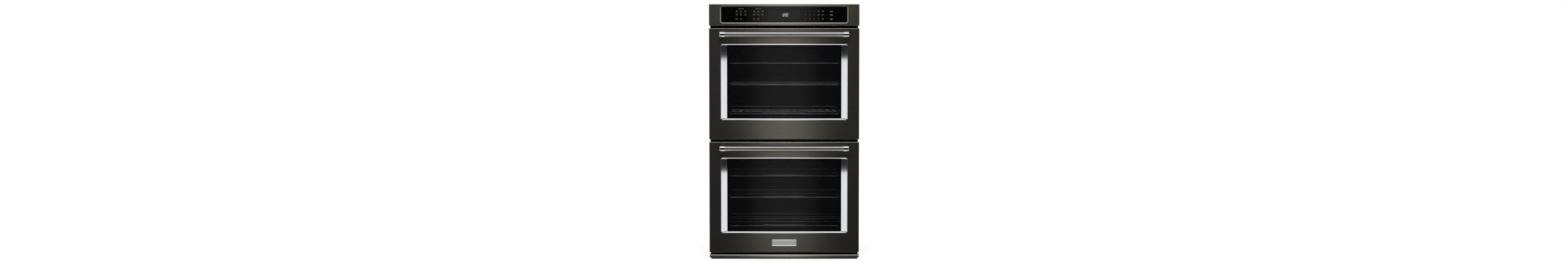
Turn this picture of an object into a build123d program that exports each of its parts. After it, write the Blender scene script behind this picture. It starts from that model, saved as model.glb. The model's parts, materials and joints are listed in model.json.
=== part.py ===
from build123d import *
import math
import os

# Built-in double wall oven, in millimetres. X is to the right, +Y goes into the cabinet, Z is up.
# y = 0 is the cabinet's face, z = 0 the shelf that the oven stands on.

# Fronts, as seen from the room
front_width = 756.0  # doors and control panel
panel_height = 109.0
base_height = 32.5  # shelf to the lower door's bottom edge
door_gap = 11.5  # between the two doors
vent_gap = 12.0  # upper door to control panel
door_depth = 42.0
seal_gap = 6.0  # face frame to the door's inner face
front_corner = 5.0  # corner radius seen from the front
front_edge = 4.0  # rounding of the front edges

# Face frame and casing
door_overhang = 5.0  # doors past the face frame, each side
frame_flange = 11.0  # face frame past the casing, each side
frame_sheet = 2.0
frame_foot = 4.0  # shelf to the face frame's lower edge
frame_head = 6.0  # face frame's upper edge below the panel's top
screw_hole_radius = 2.4
screw_margin = 120.0  # cabinet screws from the ends of the face frame
casing_depth = 590.0
casing_sheet = 1.2
panel_overhang = 25.0  # control panel above the top cover
runner_height = 20.0
runner_width = 40.0
runner_inset = 90.0  # runner's outer edge from the casing's side
runner_end = 20.0  # runner's ends from the front and the back
runner_sheet = 1.5
wiring_hole_width = 120.0
wiring_hole_height = 36.0

# Vent slots in the face frame and louvres in the rear cover
vent_count = 10
vent_slot_length = 44.0
vent_slot_height = 6.0
vent_pitch = 62.0
louvre_rows = 7
louvre_length = 150.0
louvre_height = 5.0
louvre_pitch = 16.0
louvre_offset = 150.0  # centre of each group from the middle
louvre_drop = 70.0  # top louvre below the top cover
hood_reach = 5.0  # louvre hoods behind the rear cover
hood_rise = 4.0

# Stiffening beads pressed into the casing's sheets
bead_width = 14.0
bead_depth = 2.5
bead_inset = 150.0  # beads from the casing's front and back
bead_margin = 90.0  # beads' ends from the doors' ends, and from the top cover's sides

# Cavities
cavity_height = 420.0
cavity_side_space = 58.0  # cavity to the casing's outer face, each side
cavity_wall = 1.5
cavity_corner = 18.0
cavity_flange = 14.0
floor_rise = 85.0  # door's bottom edge to the cavity floor
head_rise = 56.0  # cavity ceiling to the door's top edge

# Rack guides pressed into the cavity's sides
guide_count = 8
guide_pitch = 36.6
first_guide = 38.7  # cavity floor to the first guide's top
guide_depth = 17.0
guide_height = 7.0
guide_slope = 4.0  # rise of the underside towards the middle
guide_front_gap = 10.0
guide_rear_gap = 60.0

# Wire racks
rack_levels = {"top": 7, "middle": 4, "bottom": 0}  # guides that the racks stand on
rack_lift = 0.3  # running gap over a guide
rack_side_gap = 10.0  # rack to the cavity's side
rack_front_gap = 15.0  # cavity mouth to the rack's front
rack_rear_gap = 18.0  # rack to the fan baffle
rail_radius = 3.0
rack_corner = 18.0
wire_radius = 1.9
wire_count = 17
wire_margin = 10.4  # rail's inner face to the outermost wire's middle
handhold_wires = 5  # middle wires that stop short of the front rail
handhold_depth = 44.0
cross_bar_places = (185.0, 312.0)  # behind the front rail
guard_height = 17.0  # raised rear guard above the rails

# Insulation
insulation_side = 40.0
insulation_top = 38.0
insulation_bottom = 20.0
insulation_back = 32.0
insulation_front = 84.0  # starts behind the hinges and the latch
soft_gap = 0.3

# Heating elements, hexagonal in section
element_radius = 3.6
element_bend = 22.0
element_inset = 60.0
element_terminal = 26.0  # half the distance between the two legs
broil_drop = 24.0  # ceiling to the broil element's middle
broil_pass = 78.0  # from one long run to the next
bake_gap = 18.0  # cavity floor to the insulation under it
clip_size = 10.0
flange_sheet = 1.5
flange_margin = 8.0  # element flange past its slot
bar_sides = 6  # elements, rails and wires have this many flats

# Convection fan, its ring element, baffle and motor
baffle_side_gap = 124.0  # cavity's side to the baffle
baffle_end_gap = 60.0  # cavity's floor and ceiling to the baffle
baffle_depth = 42.0
baffle_corner = 30.0
baffle_bevel = 9.0
baffle_sheet = 1.2
intake_slots = 14
intake_inner = 26.0
intake_outer = 72.0
intake_width = 7.0
outlet_slots = 4
outlet_pitch = 50.0
outlet_length = 34.0
fan_radius = 68.0
fan_blades = 8
blade_length = 30.0
blade_width = 17.0
blade_sheet = 1.4
fan_wall_gap = 9.0  # fan disc to the cavity's rear wall
hub_radius = 10.0
shaft_radius = 4.0
bearing_gap = 0.05
ring_radius = 90.0
ring_wall_gap = 18.0
ring_leg_space = 14.0  # half the distance between the ring's legs
motor_radius = 34.0
motor_length = 46.0
motor_standoff = 38.0
motor_rear_gap = 24.0
bracket_width = 16.0
bracket_sheet = 2.0

# Lamp and temperature probe in the rear wall
lamp_side_gap = 1.0  # lens flange to the baffle's edge, seen from the front
lamp_drop = 72.0
lens_radius = 27.0
lens_flange = 6.0
lens_flange_depth = 2.5
lens_height = 20.0
socket_radius = 18.0
socket_length = 34.0
socket_gap = 2.0
probe_radius = 2.6
probe_length = 84.0
probe_tail = 30.0
probe_plate_width = 32.0
probe_plate_height = 14.0
probe_plate_depth = 1.6
probe_inset = 90.0
probe_drop = 62.0

# Door gasket
gasket_inset = 4.0  # cavity's edge to the gasket
gasket_width = 10.0
gasket_clear = 0.3
gasket_bevel = 2.2

# Door skin and liner
skin_sheet = 1.5
skin_depth = 20.0
skin_lip = 40.0  # rear lip that the liner is screwed to
liner_sheet = 1.2
liner_side_inset = 26.0
liner_top_inset = 12.0
liner_corner = 12.0
door_vent_count = 9
door_vent_length = 46.0
door_vent_width = 5.0
door_vent_pitch = 70.0

# Window
stile = 58.5  # door's edge to the window trim, each side
trim_rise = 98.0  # door's bottom edge to the trim
trim_drop = 79.0  # trim to the door's top edge
trim_corner = 9.0
trim_lip = 1.5  # trim standing proud of the skin
trim_overlap = 2.0
trim_bead = 1.5  # flat rim before the slope
trim_side = 32.0  # trim's outer edge to the glass, left and right
trim_end = 9.75  # the same at top and bottom
trim_recess = 5.0  # skin to the front of the glass, less the lip
trim_glass_lip = 2.0
trim_fit = 0.5
glass_thickness = 4.0
glass_margin = 14.0
inner_window_margin = 3.0  # liner's window past the visible glass
inner_glass_margin = 10.0
pane_spacing = 13.0
collar_sheet = 2.0

# Handles
handle_inset = 53.5  # door's edge to the handle's end
handle_drop = 30.5
handle_reach = 45.0  # skin to the bar's axis
handle_radius = 12.7
handle_wall = 1.6
cap_radius = 14.3
cap_length = 26.5
cap_round = 4.0
post_width = 17.0
post_height = 22.0
foot_width = 22.0
foot_height = 27.0

# Badge plate
badge_width = 126.0
badge_height = 33.0
badge_depth = 3.0
badge_rim = 5.0
badge_rise = 49.0
badge_field = 0.8
badge_corner = 2.0

# Hinges
hinge_rise = 22.0  # door's bottom edge to the pin
hinge_setback = 22.0  # skin's front face to the pin
hinge_inset = 24.0  # hinge from the casing's side
pin_radius = 4.0
lever_sheet = 5.0
lever_half_height = 8.0
lever_length = 60.0  # behind the cabinet's face
lever_side_gap = 0.3
lever_slot_gap = 2.0
receiver_wall = 6.0
receiver_rim = 12.0
cheek_gap = 1.5
cheek_sheet = 2.0
cheek_rim = 7.0
channel_height = 110.0
channel_foot = 14.0  # pin to the channel's web
hinge_cut = 2.0

# Latches
latch_drop = 31.0  # door's top edge to the hook
latch_pivot = 55.0
latch_reach = 14.0  # hook past the liner
latch_width = 12.0
latch_sheet = 3.0
latch_barb = 8.0
latch_barb_length = 6.0
latch_boss = 8.0
latch_swing = 15.0  # degrees
latch_slot_gap = 3.0
latch_rest = 0.3
latch_plate = 2.0
latch_plate_width = 90.0
latch_plate_rear = 22.0
latch_motor_width = 30.0
latch_motor_height = 14.0
latch_motor_depth = 46.0

# Control panel
bezel_face = 4.0
bezel_wall = 2.0
screen_side = 61.0  # panel's edge to the visible glass
screen_top = 13.5
screen_bottom = 16.0
screen_corner = 8.0
screen_bevel = 4.5
control_glass_depth = 4.0
control_glass_margin = 4.0
board_width = 300.0
board_height = 64.0
board_sheet = 1.6
display_width = 157.0
display_height = 45.0
display_depth = 2.5
tray_sheet = 1.5
tray_margin = 3.0
post_radius = 4.0
post_inset = 9.0

# Service deck, relay board and cooling blower
relay_board_width = 120.0
relay_board_depth = 180.0
relay_count = 5
relay_size = 18.0
relay_pitch = 30.0
relay_post = 8.0
relay_inset = 30.0
transformer_size = 40.0
blower_length = 300.0
wheel_radius = 32.0
wheel_end_gap = 8.0
wheel_gap = 9.0
wheel_blades = 18
wheel_blade_depth = 9.0
wheel_blade_sheet = 1.2
wheel_blade_lean = 35.0
wheel_disc = 1.6
scroll_sheet = 1.4
duct_height = 26.0
duct_front_gap = 6.0
blower_rear_gap = 80.0
inlet_width = 30.0
blower_motor_radius = 26.0
blower_motor_length = 56.0
blower_shaft_grip = 24.0

# Base trim and strip
strip_height = 7.0
strip_setback = 4.0
trim_gap = 10.0  # lower door to the base trim
nosing_radius = 7.0
nosing_groove = 1.4
fascia_height = 5.0

# Supply inlet
conduit_radius = 11.1
conduit_wall = 4.0
conduit_length = 12.0
conduit_plate_width = 100.0
conduit_plate_height = 80.0
conduit_plate_sheet = 1.5
conduit_lap = 14.0  # plate past the rear cover's cut-out
conduit_inset = 120.0
conduit_drop = 150.0

over_cut = 1.0  # cutters pass this far through a face

# Worked out from the sizes above
frame_width = front_width - 2 * door_overhang
casing_width = frame_width - 2 * frame_flange
cavity_width = casing_width - 2 * cavity_side_space
door_height = floor_rise + cavity_height + head_rise
door_back = -frame_sheet - seal_gap
door_front = door_back - door_depth
lower_z = base_height
upper_z = lower_z + door_height + door_gap
panel_z = upper_z + door_height + vent_gap
panel_top = panel_z + panel_height
casing_top = panel_top - panel_overhang
casing_floor = runner_height
cavity_depth = (
    casing_depth - casing_sheet - motor_rear_gap - motor_length - motor_standoff - cavity_wall
)
cavity_back = cavity_depth + cavity_wall
motor_front = cavity_back + motor_standoff
deck_z = upper_z + floor_rise + cavity_height + cavity_wall + soft_gap + insulation_top + soft_gap
deck_top = deck_z + casing_sheet
baffle_width = cavity_width - 2 * baffle_side_gap
baffle_height = cavity_height - 2 * baffle_end_gap
half_casing = casing_width / 2
inner_half = half_casing - casing_sheet
hinge_x = half_casing - hinge_inset
pin_y = door_front + hinge_setback
trim_width = front_width - 2 * stile
trim_height = door_height - trim_rise - trim_drop
glass_width = trim_width - 2 * trim_side
glass_height = trim_height - 2 * trim_end
glass_y = door_front + trim_recess + trim_glass_lip
oven_z = {"upper": upper_z, "lower": lower_z}
sides = (-1, 1)
diagonal = math.sqrt(0.5)  # sine and cosine of half a right angle


def block(x0, x1, y0, y1, z0, z1):
    """A box between two opposite corners."""
    middle = Pos((x0 + x1) / 2, (y0 + y1) / 2, (z0 + z1) / 2)
    return middle * Box(abs(x1 - x0), abs(y1 - y0), abs(z1 - z0))


def rod(section, start, end):
    """A straight bar with the given section, from one point to another."""
    run = Vector(*end) - Vector(*start)
    across = (0, 1, 0) if abs(run.X) > abs(run.Y) else (1, 0, 0)
    return extrude(Plane(origin=start, x_dir=across, z_dir=run) * section, run.length)


def front_plane(y, x=0.0, z=0.0):
    """A drawing plane that is seen from the front: its x is X, its y is Z."""
    return Plane(origin=(x, y, z), x_dir=(1, 0, 0), z_dir=(0, -1, 0))


def plate(width, height, corner, y0, y1, z, x=0.0):
    """A plate with rounded corners, upright and facing the room, between two depths."""
    return extrude(front_plane(y1, x, z) * RectangleRounded(width, height, corner), y1 - y0)


def pan(width, height, y0, y1, z, corner, edge):
    """A plate whose front edges are rounded too."""
    body = plate(width, height, corner, y0, y1, z)
    return fillet(body.faces().sort_by(Axis.Y)[0].edges(), edge)


def taper(front, back, y0, y1, z):
    """A rounded hole that narrows from its front size to its back size."""
    mouth = front_plane(y0, z=z) * RectangleRounded(*front)
    throat = front_plane(y1, z=z) * RectangleRounded(*back)
    return loft([mouth, throat], ruled=True)


def drum(radius, x0, x1, y, z):
    """A cylinder along X."""
    return rod(Circle(radius), (x0, y, z), (x1, y, z))


def stub(radius, y0, y1, x, z):
    """A cylinder along Y."""
    return rod(Circle(radius), (x, y0, z), (x, y1, z))


def post(radius, z0, z1, x, y):
    """A cylinder along Z."""
    return rod(Circle(radius), (x, y, z0), (x, y, z1))


def row(count, pitch):
    """Evenly spaced places about zero."""
    return [(i - (count - 1) / 2) * pitch for i in range(count)]


def floor_of(z0):
    return z0 + floor_rise


def ceiling_of(z0):
    return z0 + floor_rise + cavity_height


def fan_z(z0):
    return z0 + floor_rise + cavity_height / 2


def window_z(z0):
    return z0 + trim_rise + trim_height / 2


def hinge_z(z0):
    return z0 + hinge_rise


def latch_z(z0):
    return z0 + door_height - latch_drop


def lamp_place(z0):
    x = -baffle_width / 2 - lamp_side_gap - lens_flange - lens_radius
    return x, ceiling_of(z0) - lamp_drop


def probe_place(z0):
    return cavity_width / 2 - probe_inset, ceiling_of(z0) - probe_drop


def lever_path(y0, y1, z, width, height, x):
    """The room that a hinge lever takes up, from one depth to another."""
    return block(x - width / 2, x + width / 2, y0, y1, z - height / 2, z + height / 2)


def latch_slot(y0, y1, z0):
    """The slot that a latch hook swings in."""
    swing = (latch_pivot - door_back) * math.sin(math.radians(latch_swing))
    left = -latch_width / 2 - latch_slot_gap
    right = latch_width / 2 + swing + latch_slot_gap
    half = latch_sheet / 2 + latch_slot_gap
    return block(left, right, y0, y1, latch_z(z0) - half, latch_z(z0) + half)


# Casing
def bead_rows():
    return bead_inset, casing_depth - bead_inset


def make_side_panel(side):
    """Side sheet with two beads pressed in beside each oven."""
    outer, inner = side * half_casing, side * inner_half
    body = block(outer, inner, 0, casing_depth - casing_sheet, casing_floor, casing_top)
    length = door_height - 2 * bead_margin
    groove = SlotOverall(length, bead_width)
    ridge = SlotOverall(length + 2 * casing_sheet, bead_width + 2 * casing_sheet)
    for z0 in oven_z.values():
        for y in bead_rows():
            face = Plane(origin=(outer, y, z0 + door_height / 2), x_dir=(0, 0, 1), z_dir=(-side, 0, 0))
            body += extrude(face * ridge, bead_depth + casing_sheet)
            body -= extrude(face * groove, bead_depth)
    return body


def make_top_cover():
    """Top sheet with two beads raised along it."""
    top = casing_top + casing_sheet
    body = block(-half_casing, half_casing, 0, casing_depth, casing_top, top)
    length = casing_width - 2 * bead_margin
    groove = SlotOverall(length, bead_width)
    ridge = SlotOverall(length + 2 * casing_sheet, bead_width + 2 * casing_sheet)
    for y in bead_rows():
        face = Plane(origin=(0, y, casing_top), x_dir=(1, 0, 0), z_dir=(0, 0, 1))
        body += extrude(face * ridge, bead_depth + casing_sheet)
        body -= extrude(face * groove, bead_depth)
    return body


def make_base_pan():
    """The floor sheet on two channel runners."""
    top = casing_floor + casing_sheet
    pieces = [block(-inner_half, inner_half, 0, casing_depth - casing_sheet, casing_floor, top)]
    for side in sides:
        outer = side * (half_casing - runner_inset)
        inner = outer - side * runner_width
        channel = block(outer, inner, runner_end, casing_depth - runner_end, 0, runner_height)
        channel -= block(
            outer - side * runner_sheet,
            inner + side * runner_sheet,
            runner_end - over_cut,
            casing_depth - runner_end + over_cut,
            runner_sheet,
            runner_height + over_cut,
        )
        pieces.append(channel)
    return Compound([solid for piece in pieces for solid in piece.solids()])


def make_rear_cover():
    """The back sheet, with two groups of louvres and the cut-out behind the supply inlet."""
    y0 = casing_depth - casing_sheet
    body = block(-half_casing, half_casing, y0, casing_depth, casing_floor, casing_top)
    for x in row(2, 2 * louvre_offset):
        for i in range(louvre_rows):
            z = casing_top - louvre_drop - i * louvre_pitch
            body -= block(
                x - louvre_length / 2,
                x + louvre_length / 2,
                y0 - over_cut,
                casing_depth + over_cut,
                z - louvre_height / 2,
                z + louvre_height / 2,
            )
            body += make_hood(x, z)
    x, z = conduit_place()
    half_width = conduit_plate_width / 2 - conduit_lap
    half_height = conduit_plate_height / 2 - conduit_lap
    body -= block(
        x - half_width,
        x + half_width,
        y0 - over_cut,
        casing_depth + over_cut,
        z - half_height,
        z + half_height,
    )
    return body


def make_hood(x, z):
    """Sloping hood pressed out over one louvre, open below."""
    brow = z + louvre_height / 2 + hood_rise
    eave = z - louvre_height / 2
    tip = casing_depth + hood_reach
    outline = Polyline(
        (casing_depth, brow),
        (tip, z),
        (tip, eave),
        (tip - casing_sheet, eave),
        (tip - casing_sheet, z),
        (casing_depth, brow - hood_rise),
        close=True,
    )
    face = Plane(origin=(x - louvre_length / 2, 0, 0), x_dir=(0, 1, 0), z_dir=(1, 0, 0))
    return extrude(face * make_face(outline), louvre_length)


def conduit_place():
    lowest_louvre = casing_top - louvre_drop - (louvre_rows - 1) * louvre_pitch
    return half_casing - conduit_inset, lowest_louvre - conduit_drop


def make_conduit_plate():
    """Cover plate with the collar that takes the supply conduit."""
    x, z = conduit_place()
    y1 = casing_depth + conduit_plate_sheet
    body = block(
        x - conduit_plate_width / 2,
        x + conduit_plate_width / 2,
        casing_depth,
        y1,
        z - conduit_plate_height / 2,
        z + conduit_plate_height / 2,
    )
    body += stub(conduit_radius + conduit_wall, casing_depth, y1 + conduit_length, x, z)
    return body - stub(conduit_radius, casing_depth - over_cut, y1 + conduit_length + over_cut, x, z)


def make_front_frame():
    """Black face frame: cavity mouths, hinge and latch slots, vents and cabinet screws."""
    y0 = -frame_sheet
    low, high = y0 - over_cut, over_cut
    body = block(
        -frame_width / 2, frame_width / 2, y0, 0, frame_foot, panel_top - frame_head
    )
    for z0 in oven_z.values():
        body -= plate(cavity_width, cavity_height, cavity_corner, low, high, fan_z(z0))
        body -= latch_slot(low, high, z0)
        for side in sides:
            body -= lever_path(
                low,
                high,
                hinge_z(z0),
                lever_sheet + 2 * lever_slot_gap,
                2 * (lever_half_height + lever_slot_gap),
                side * hinge_x,
            )
    for z in (panel_z - vent_gap / 2, upper_z - door_gap / 2):
        for x in row(vent_count, vent_pitch):
            body -= block(
                x - vent_slot_length / 2,
                x + vent_slot_length / 2,
                low,
                high,
                z - vent_slot_height / 2,
                z + vent_slot_height / 2,
            )
    wiring_x = inner_half - wiring_hole_width
    body -= block(
        wiring_x - wiring_hole_width / 2,
        wiring_x + wiring_hole_width / 2,
        low,
        high,
        screen_z() - wiring_hole_height / 2,
        screen_z() + wiring_hole_height / 2,
    )
    for side in sides:
        for z in screw_heights():
            body -= stub(screw_hole_radius, low, high, side * (half_casing + frame_flange / 2), z)
    return body


def screw_heights():
    return frame_foot + screw_margin, panel_top - frame_head - screw_margin


def make_service_deck():
    return block(-inner_half, inner_half, 0, casing_depth - casing_sheet, deck_z, deck_top)


# Ovens
def make_cavity(z0):
    """Enamelled box, open to the front, with rack guides on both sides."""
    z = fan_z(z0)
    wall = 2 * cavity_wall
    flange = 2 * cavity_flange
    body = plate(
        cavity_width + wall, cavity_height + wall, cavity_corner + cavity_wall, 0, cavity_back, z
    )
    body += plate(
        cavity_width + flange, cavity_height + flange, cavity_corner + cavity_flange, 0, cavity_wall, z
    )
    body -= plate(cavity_width, cavity_height, cavity_corner, -over_cut, cavity_depth, z)
    for side in sides:
        for i in range(guide_count):
            body += make_guide(side, floor_of(z0) + first_guide + i * guide_pitch)
    for cutter in rear_wall_cutters(z0):
        body -= cutter
    return body


def make_guide(side, top):
    """One pressed rib: flat on top, sloping underneath."""
    outer = side * cavity_width / 2
    inner = outer - side * guide_depth
    foot = outer + side * cavity_wall / 2
    outline = Polyline(
        (foot, top),
        (inner, top),
        (inner, top - guide_height + guide_slope),
        (outer, top - guide_height),
        (foot, top - guide_height),
        close=True,
    )
    y1 = cavity_depth - guide_rear_gap
    return extrude(front_plane(y1) * make_face(outline), y1 - guide_front_gap)


def rear_wall_cutters(z0):
    """Holes in the rear wall for the shaft, lamp, probe and element legs."""
    y0, y1 = cavity_depth - over_cut, cavity_back + over_cut
    reach = element_radius + socket_gap
    ring_low = fan_z(z0) - ring_radius
    broil_z = ceiling_of(z0) - broil_drop
    return [
        stub(shaft_radius + socket_gap, y0, y1, 0, fan_z(z0)),
        stub(socket_radius + socket_gap, y0, y1, *lamp_place(z0)),
        stub(probe_radius + bearing_gap, y0, y1, *probe_place(z0)),
        block(
            -ring_leg_space - reach, ring_leg_space + reach, y0, y1, ring_low - reach, ring_low + reach
        ),
        block(
            -element_terminal - reach, element_terminal + reach, y0, y1, broil_z - reach, broil_z + reach
        ),
    ]


def make_insulation(z0):
    """Blanket round the cavity, with room for the bake element and cut-outs in the back."""
    outer_half = cavity_width / 2 + cavity_wall + soft_gap
    low = floor_of(z0) - cavity_wall - bake_gap
    high = ceiling_of(z0) + cavity_wall + soft_gap
    back = cavity_back + soft_gap
    body = block(
        -outer_half - insulation_side,
        outer_half + insulation_side,
        insulation_front,
        back + insulation_back,
        low - insulation_bottom,
        high + insulation_top,
    )
    body -= block(-outer_half, outer_half, insulation_front - over_cut, back, low, high)
    y0, y1 = back - over_cut, back + insulation_back + over_cut
    half = motor_radius + bracket_width
    body -= block(-half, half, y0, y1, fan_z(z0) - ring_radius - bracket_width, fan_z(z0) + half)
    reach = element_terminal + bracket_width
    broil_z = ceiling_of(z0) - broil_drop
    body -= block(-reach, reach, y0, y1, broil_z - bracket_width, broil_z + bracket_width)
    body -= stub(socket_radius + socket_gap, y0, y1, *lamp_place(z0))
    body -= stub(probe_radius + socket_gap, y0, y1, *probe_place(z0))
    return body


def bent_element(points, radius):
    """A hexagonal tube along a bent path."""
    path = FilletPolyline(*points, radius=radius)
    start = Vector(*points[0])
    section = RegularPolygon(element_radius, bar_sides)
    return sweep(Plane(origin=start, z_dir=Vector(*points[1]) - start) * section, path)


def leg_flange(half_space, z):
    """Plate behind the rear wall that carries an element's two legs."""
    half_width = half_space + element_radius + socket_gap + flange_margin
    half_height = element_radius + socket_gap + flange_margin
    y1 = cavity_back + flange_sheet
    return block(-half_width, half_width, cavity_back, y1, z - half_height, z + half_height)


def make_broil_element(z0):
    """Serpentine under the ceiling, on two hangers, with flanged legs through the rear wall."""
    z = ceiling_of(z0) - broil_drop
    front, rear = element_inset, cavity_depth - baffle_depth - element_inset
    near, mid, far = (broil_pass * share / 2 for share in (1, 3, 5))
    turn = front + element_inset
    leg_end = cavity_back + insulation_back
    half = [
        (element_terminal, leg_end, z),
        (element_terminal, rear + element_inset, z),
        (far, rear + element_inset, z),
        (far, front, z),
        (mid, front, z),
        (mid, rear, z),
        (near, rear, z),
        (near, front, z),
    ]
    other = [(-x, y, height) for x, y, height in reversed(half)]
    body = bent_element(half + other, element_bend) + leg_flange(element_terminal, z)
    for side in sides:
        x = side * far
        body += block(
            x - clip_size / 2, x + clip_size / 2, turn, turn + clip_size, z, ceiling_of(z0)
        )
    return body


def make_bake_element(z0):
    """Loop under the cavity floor, clipped to it."""
    under = floor_of(z0) - cavity_wall
    z = under - bake_gap / 2
    front, rear = insulation_front + element_inset, cavity_depth - element_inset
    wide = cavity_width / 2 - element_inset
    half = [
        (element_terminal, cavity_depth, z),
        (element_terminal, rear, z),
        (wide, rear, z),
        (wide, front, z),
    ]
    other = [(-x, y, height) for x, y, height in reversed(half)]
    body = bent_element(half + other, element_bend)
    for side in sides:
        for y in (front + element_inset, rear - element_inset):
            x = side * wide
            body += block(x - clip_size / 2, x + clip_size / 2, y, y + clip_size, z, under)
    return body


def make_convection_ring(z0):
    """Ring element round the fan, with two flanged legs through the rear wall."""
    y, z = cavity_depth - ring_wall_gap, fan_z(z0)
    lean = math.asin(ring_leg_space / ring_radius)
    end_z = z - ring_radius * math.cos(lean)
    section = RegularPolygon(element_radius, bar_sides)
    start = Plane(
        origin=(ring_leg_space, y, end_z), x_dir=(0, 1, 0), z_dir=(math.cos(lean), 0, math.sin(lean))
    )
    around = Axis((0, y, z), (0, -1, 0))
    body = revolve(start * section, around, 360 - 2 * math.degrees(lean))
    leg_end = cavity_back + insulation_back
    for side in sides:
        x = side * ring_leg_space
        body += rod(section, (x, y - element_radius, end_z), (x, leg_end, end_z))
    return body + leg_flange(ring_leg_space, end_z)


def make_fan_baffle(z0):
    """Pressed dish over the fan, with radial intakes and side outlets."""
    z = fan_z(z0)
    y0 = cavity_depth - baffle_depth
    step = 2 * baffle_sheet
    body = plate(baffle_width, baffle_height, baffle_corner, y0, cavity_depth, z)
    body = chamfer(body.faces().sort_by(Axis.Y)[0].edges(), baffle_bevel)
    inside = plate(
        baffle_width - step,
        baffle_height - step,
        baffle_corner - baffle_sheet,
        y0 + baffle_sheet,
        cavity_depth + over_cut,
        z,
    )
    inner_bevel = baffle_bevel - baffle_sheet * (2 - math.sqrt(2))
    body -= chamfer(inside.faces().sort_by(Axis.Y)[0].edges(), inner_bevel)
    slot = block(
        intake_inner,
        intake_outer,
        y0 - over_cut,
        y0 + baffle_sheet + over_cut,
        -intake_width / 2,
        intake_width / 2,
    )
    for i in range(intake_slots):
        body -= Pos(0, 0, z) * Rot(0, i * 360 / intake_slots, 0) * slot
    for offset in row(outlet_slots, outlet_pitch):
        body -= block(
            -baffle_width,
            baffle_width,
            cavity_depth - baffle_depth / 2,
            cavity_depth - baffle_depth / 2 + intake_width,
            z + offset - outlet_length / 2,
            z + offset + outlet_length / 2,
        )
    return body


def make_fan(z0):
    """Disc with bent-up blades on a shaft that runs back into the motor."""
    z = fan_z(z0)
    disc_y = cavity_depth - fan_wall_gap
    body = stub(fan_radius, disc_y - blade_sheet, disc_y, 0, z)
    blade = block(
        fan_radius - blade_length,
        fan_radius,
        disc_y - blade_sheet - blade_width,
        disc_y - blade_sheet / 2,
        -blade_sheet / 2,
        blade_sheet / 2,
    )
    for i in range(fan_blades):
        body += Pos(0, 0, z) * Rot(0, i * 360 / fan_blades, 0) * blade
    body += stub(hub_radius, disc_y - blade_width, disc_y, 0, z)
    body += stub(shaft_radius, disc_y - blade_width, motor_front + motor_length / 2, 0, z)
    return body


def make_fan_motor(z0):
    """Motor on a two-legged bracket behind the rear wall, with the shaft's bearing."""
    z = fan_z(z0)
    body = stub(motor_radius, motor_front, motor_front + motor_length, 0, z)
    reach = motor_radius + bracket_width / 2
    half = bracket_width / 2
    body += block(-reach, reach, motor_front - bracket_sheet, motor_front, z - half, z + half)
    for side in sides:
        outer = side * reach
        body += block(
            outer, outer - side * bracket_sheet, cavity_back, motor_front, z - half, z + half
        )
    bore_end = motor_front + motor_length / 2 + over_cut
    return body - stub(shaft_radius + bearing_gap, motor_front - bracket_sheet - over_cut, bore_end, 0, z)


def make_lamp_lens(z0):
    """Domed glass with a flange on the rear wall."""
    x, z = lamp_place(z0)
    rim = lens_radius + lens_flange
    shoulder = (lens_radius, -lens_flange_depth)
    top = (0, -lens_height)
    rise = lens_height - lens_flange_depth
    bulge = (lens_radius * diagonal, -lens_flange_depth - rise * diagonal)
    edge = Polyline(shoulder, (rim, -lens_flange_depth), (rim, 0), (0, 0), top)
    dome = ThreePointArc(top, bulge, shoulder)
    profile = make_face(Pos(x, cavity_depth, z) * (edge + dome))
    return revolve(profile, Axis((x, cavity_depth, z), (0, 1, 0)))


def make_lamp_socket(z0):
    x, z = lamp_place(z0)
    return stub(socket_radius, cavity_depth, cavity_depth + socket_length, x, z)


def make_probe(z0):
    x, z = probe_place(z0)
    body = block(
        x - probe_plate_width / 2,
        x + probe_plate_width / 2,
        cavity_depth - probe_plate_depth,
        cavity_depth,
        z - probe_plate_height / 2,
        z + probe_plate_height / 2,
    )
    return body + stub(probe_radius, cavity_depth - probe_length, cavity_back + probe_tail, x, z)


def make_gasket(z0):
    """Seal round the cavity's mouth, just short of the closed door."""
    inner = 2 * gasket_inset
    outer = inner + 2 * gasket_width
    y0 = door_back + gasket_clear
    z = fan_z(z0)
    corner = cavity_corner + gasket_inset
    y1 = -frame_sheet
    body = plate(cavity_width + outer, cavity_height + outer, corner + gasket_width, y0, y1, z)
    body -= plate(cavity_width + inner, cavity_height + inner, corner, y0 - over_cut, y1 + over_cut, z)
    return chamfer(body.faces().sort_by(Axis.Y)[0].edges(), gasket_bevel)


def make_hinge_receiver(z0, side):
    """Block behind the face frame that grips a hinge lever."""
    x, z = side * hinge_x, hinge_z(z0)
    width = lever_sheet + 2 * lever_side_gap
    height = 2 * (lever_half_height + receiver_rim)
    body = lever_path(0, lever_length + receiver_wall, z, width + 2 * receiver_wall, height, x)
    return body - lever_path(-over_cut, lever_length, z, width, 2 * lever_half_height, x)


def make_hinge_lever(z0, side):
    """Flat lever from the receiver to the door's pin."""
    x, z = side * hinge_x, hinge_z(z0)
    half = lever_sheet / 2
    body = lever_path(pin_y, lever_length, z, lever_sheet, 2 * lever_half_height, x)
    body += drum(lever_half_height, x - half, x + half, pin_y, z)
    return body - drum(pin_radius + bearing_gap, x - half - over_cut, x + half + over_cut, pin_y, z)


def make_hinge_channel(z0, side):
    """Channel in the door: two cheeks, a web between them and the riveted pin."""
    x, z = side * hinge_x, hinge_z(z0)
    near = lever_sheet / 2 + cheek_gap
    far = near + cheek_sheet
    front, back = pin_y - cheek_rim, door_back - liner_sheet
    low, high = z - cheek_rim, z + channel_height
    body = block(x - far, x + far, front, front + cheek_sheet, z + channel_foot, high)
    for cheek in sides:
        body += block(x + cheek * near, x + cheek * far, front, back, low, high)
    return body + drum(pin_radius, x - near - cheek_sheet / 2, x + near + cheek_sheet / 2, pin_y, z)


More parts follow.
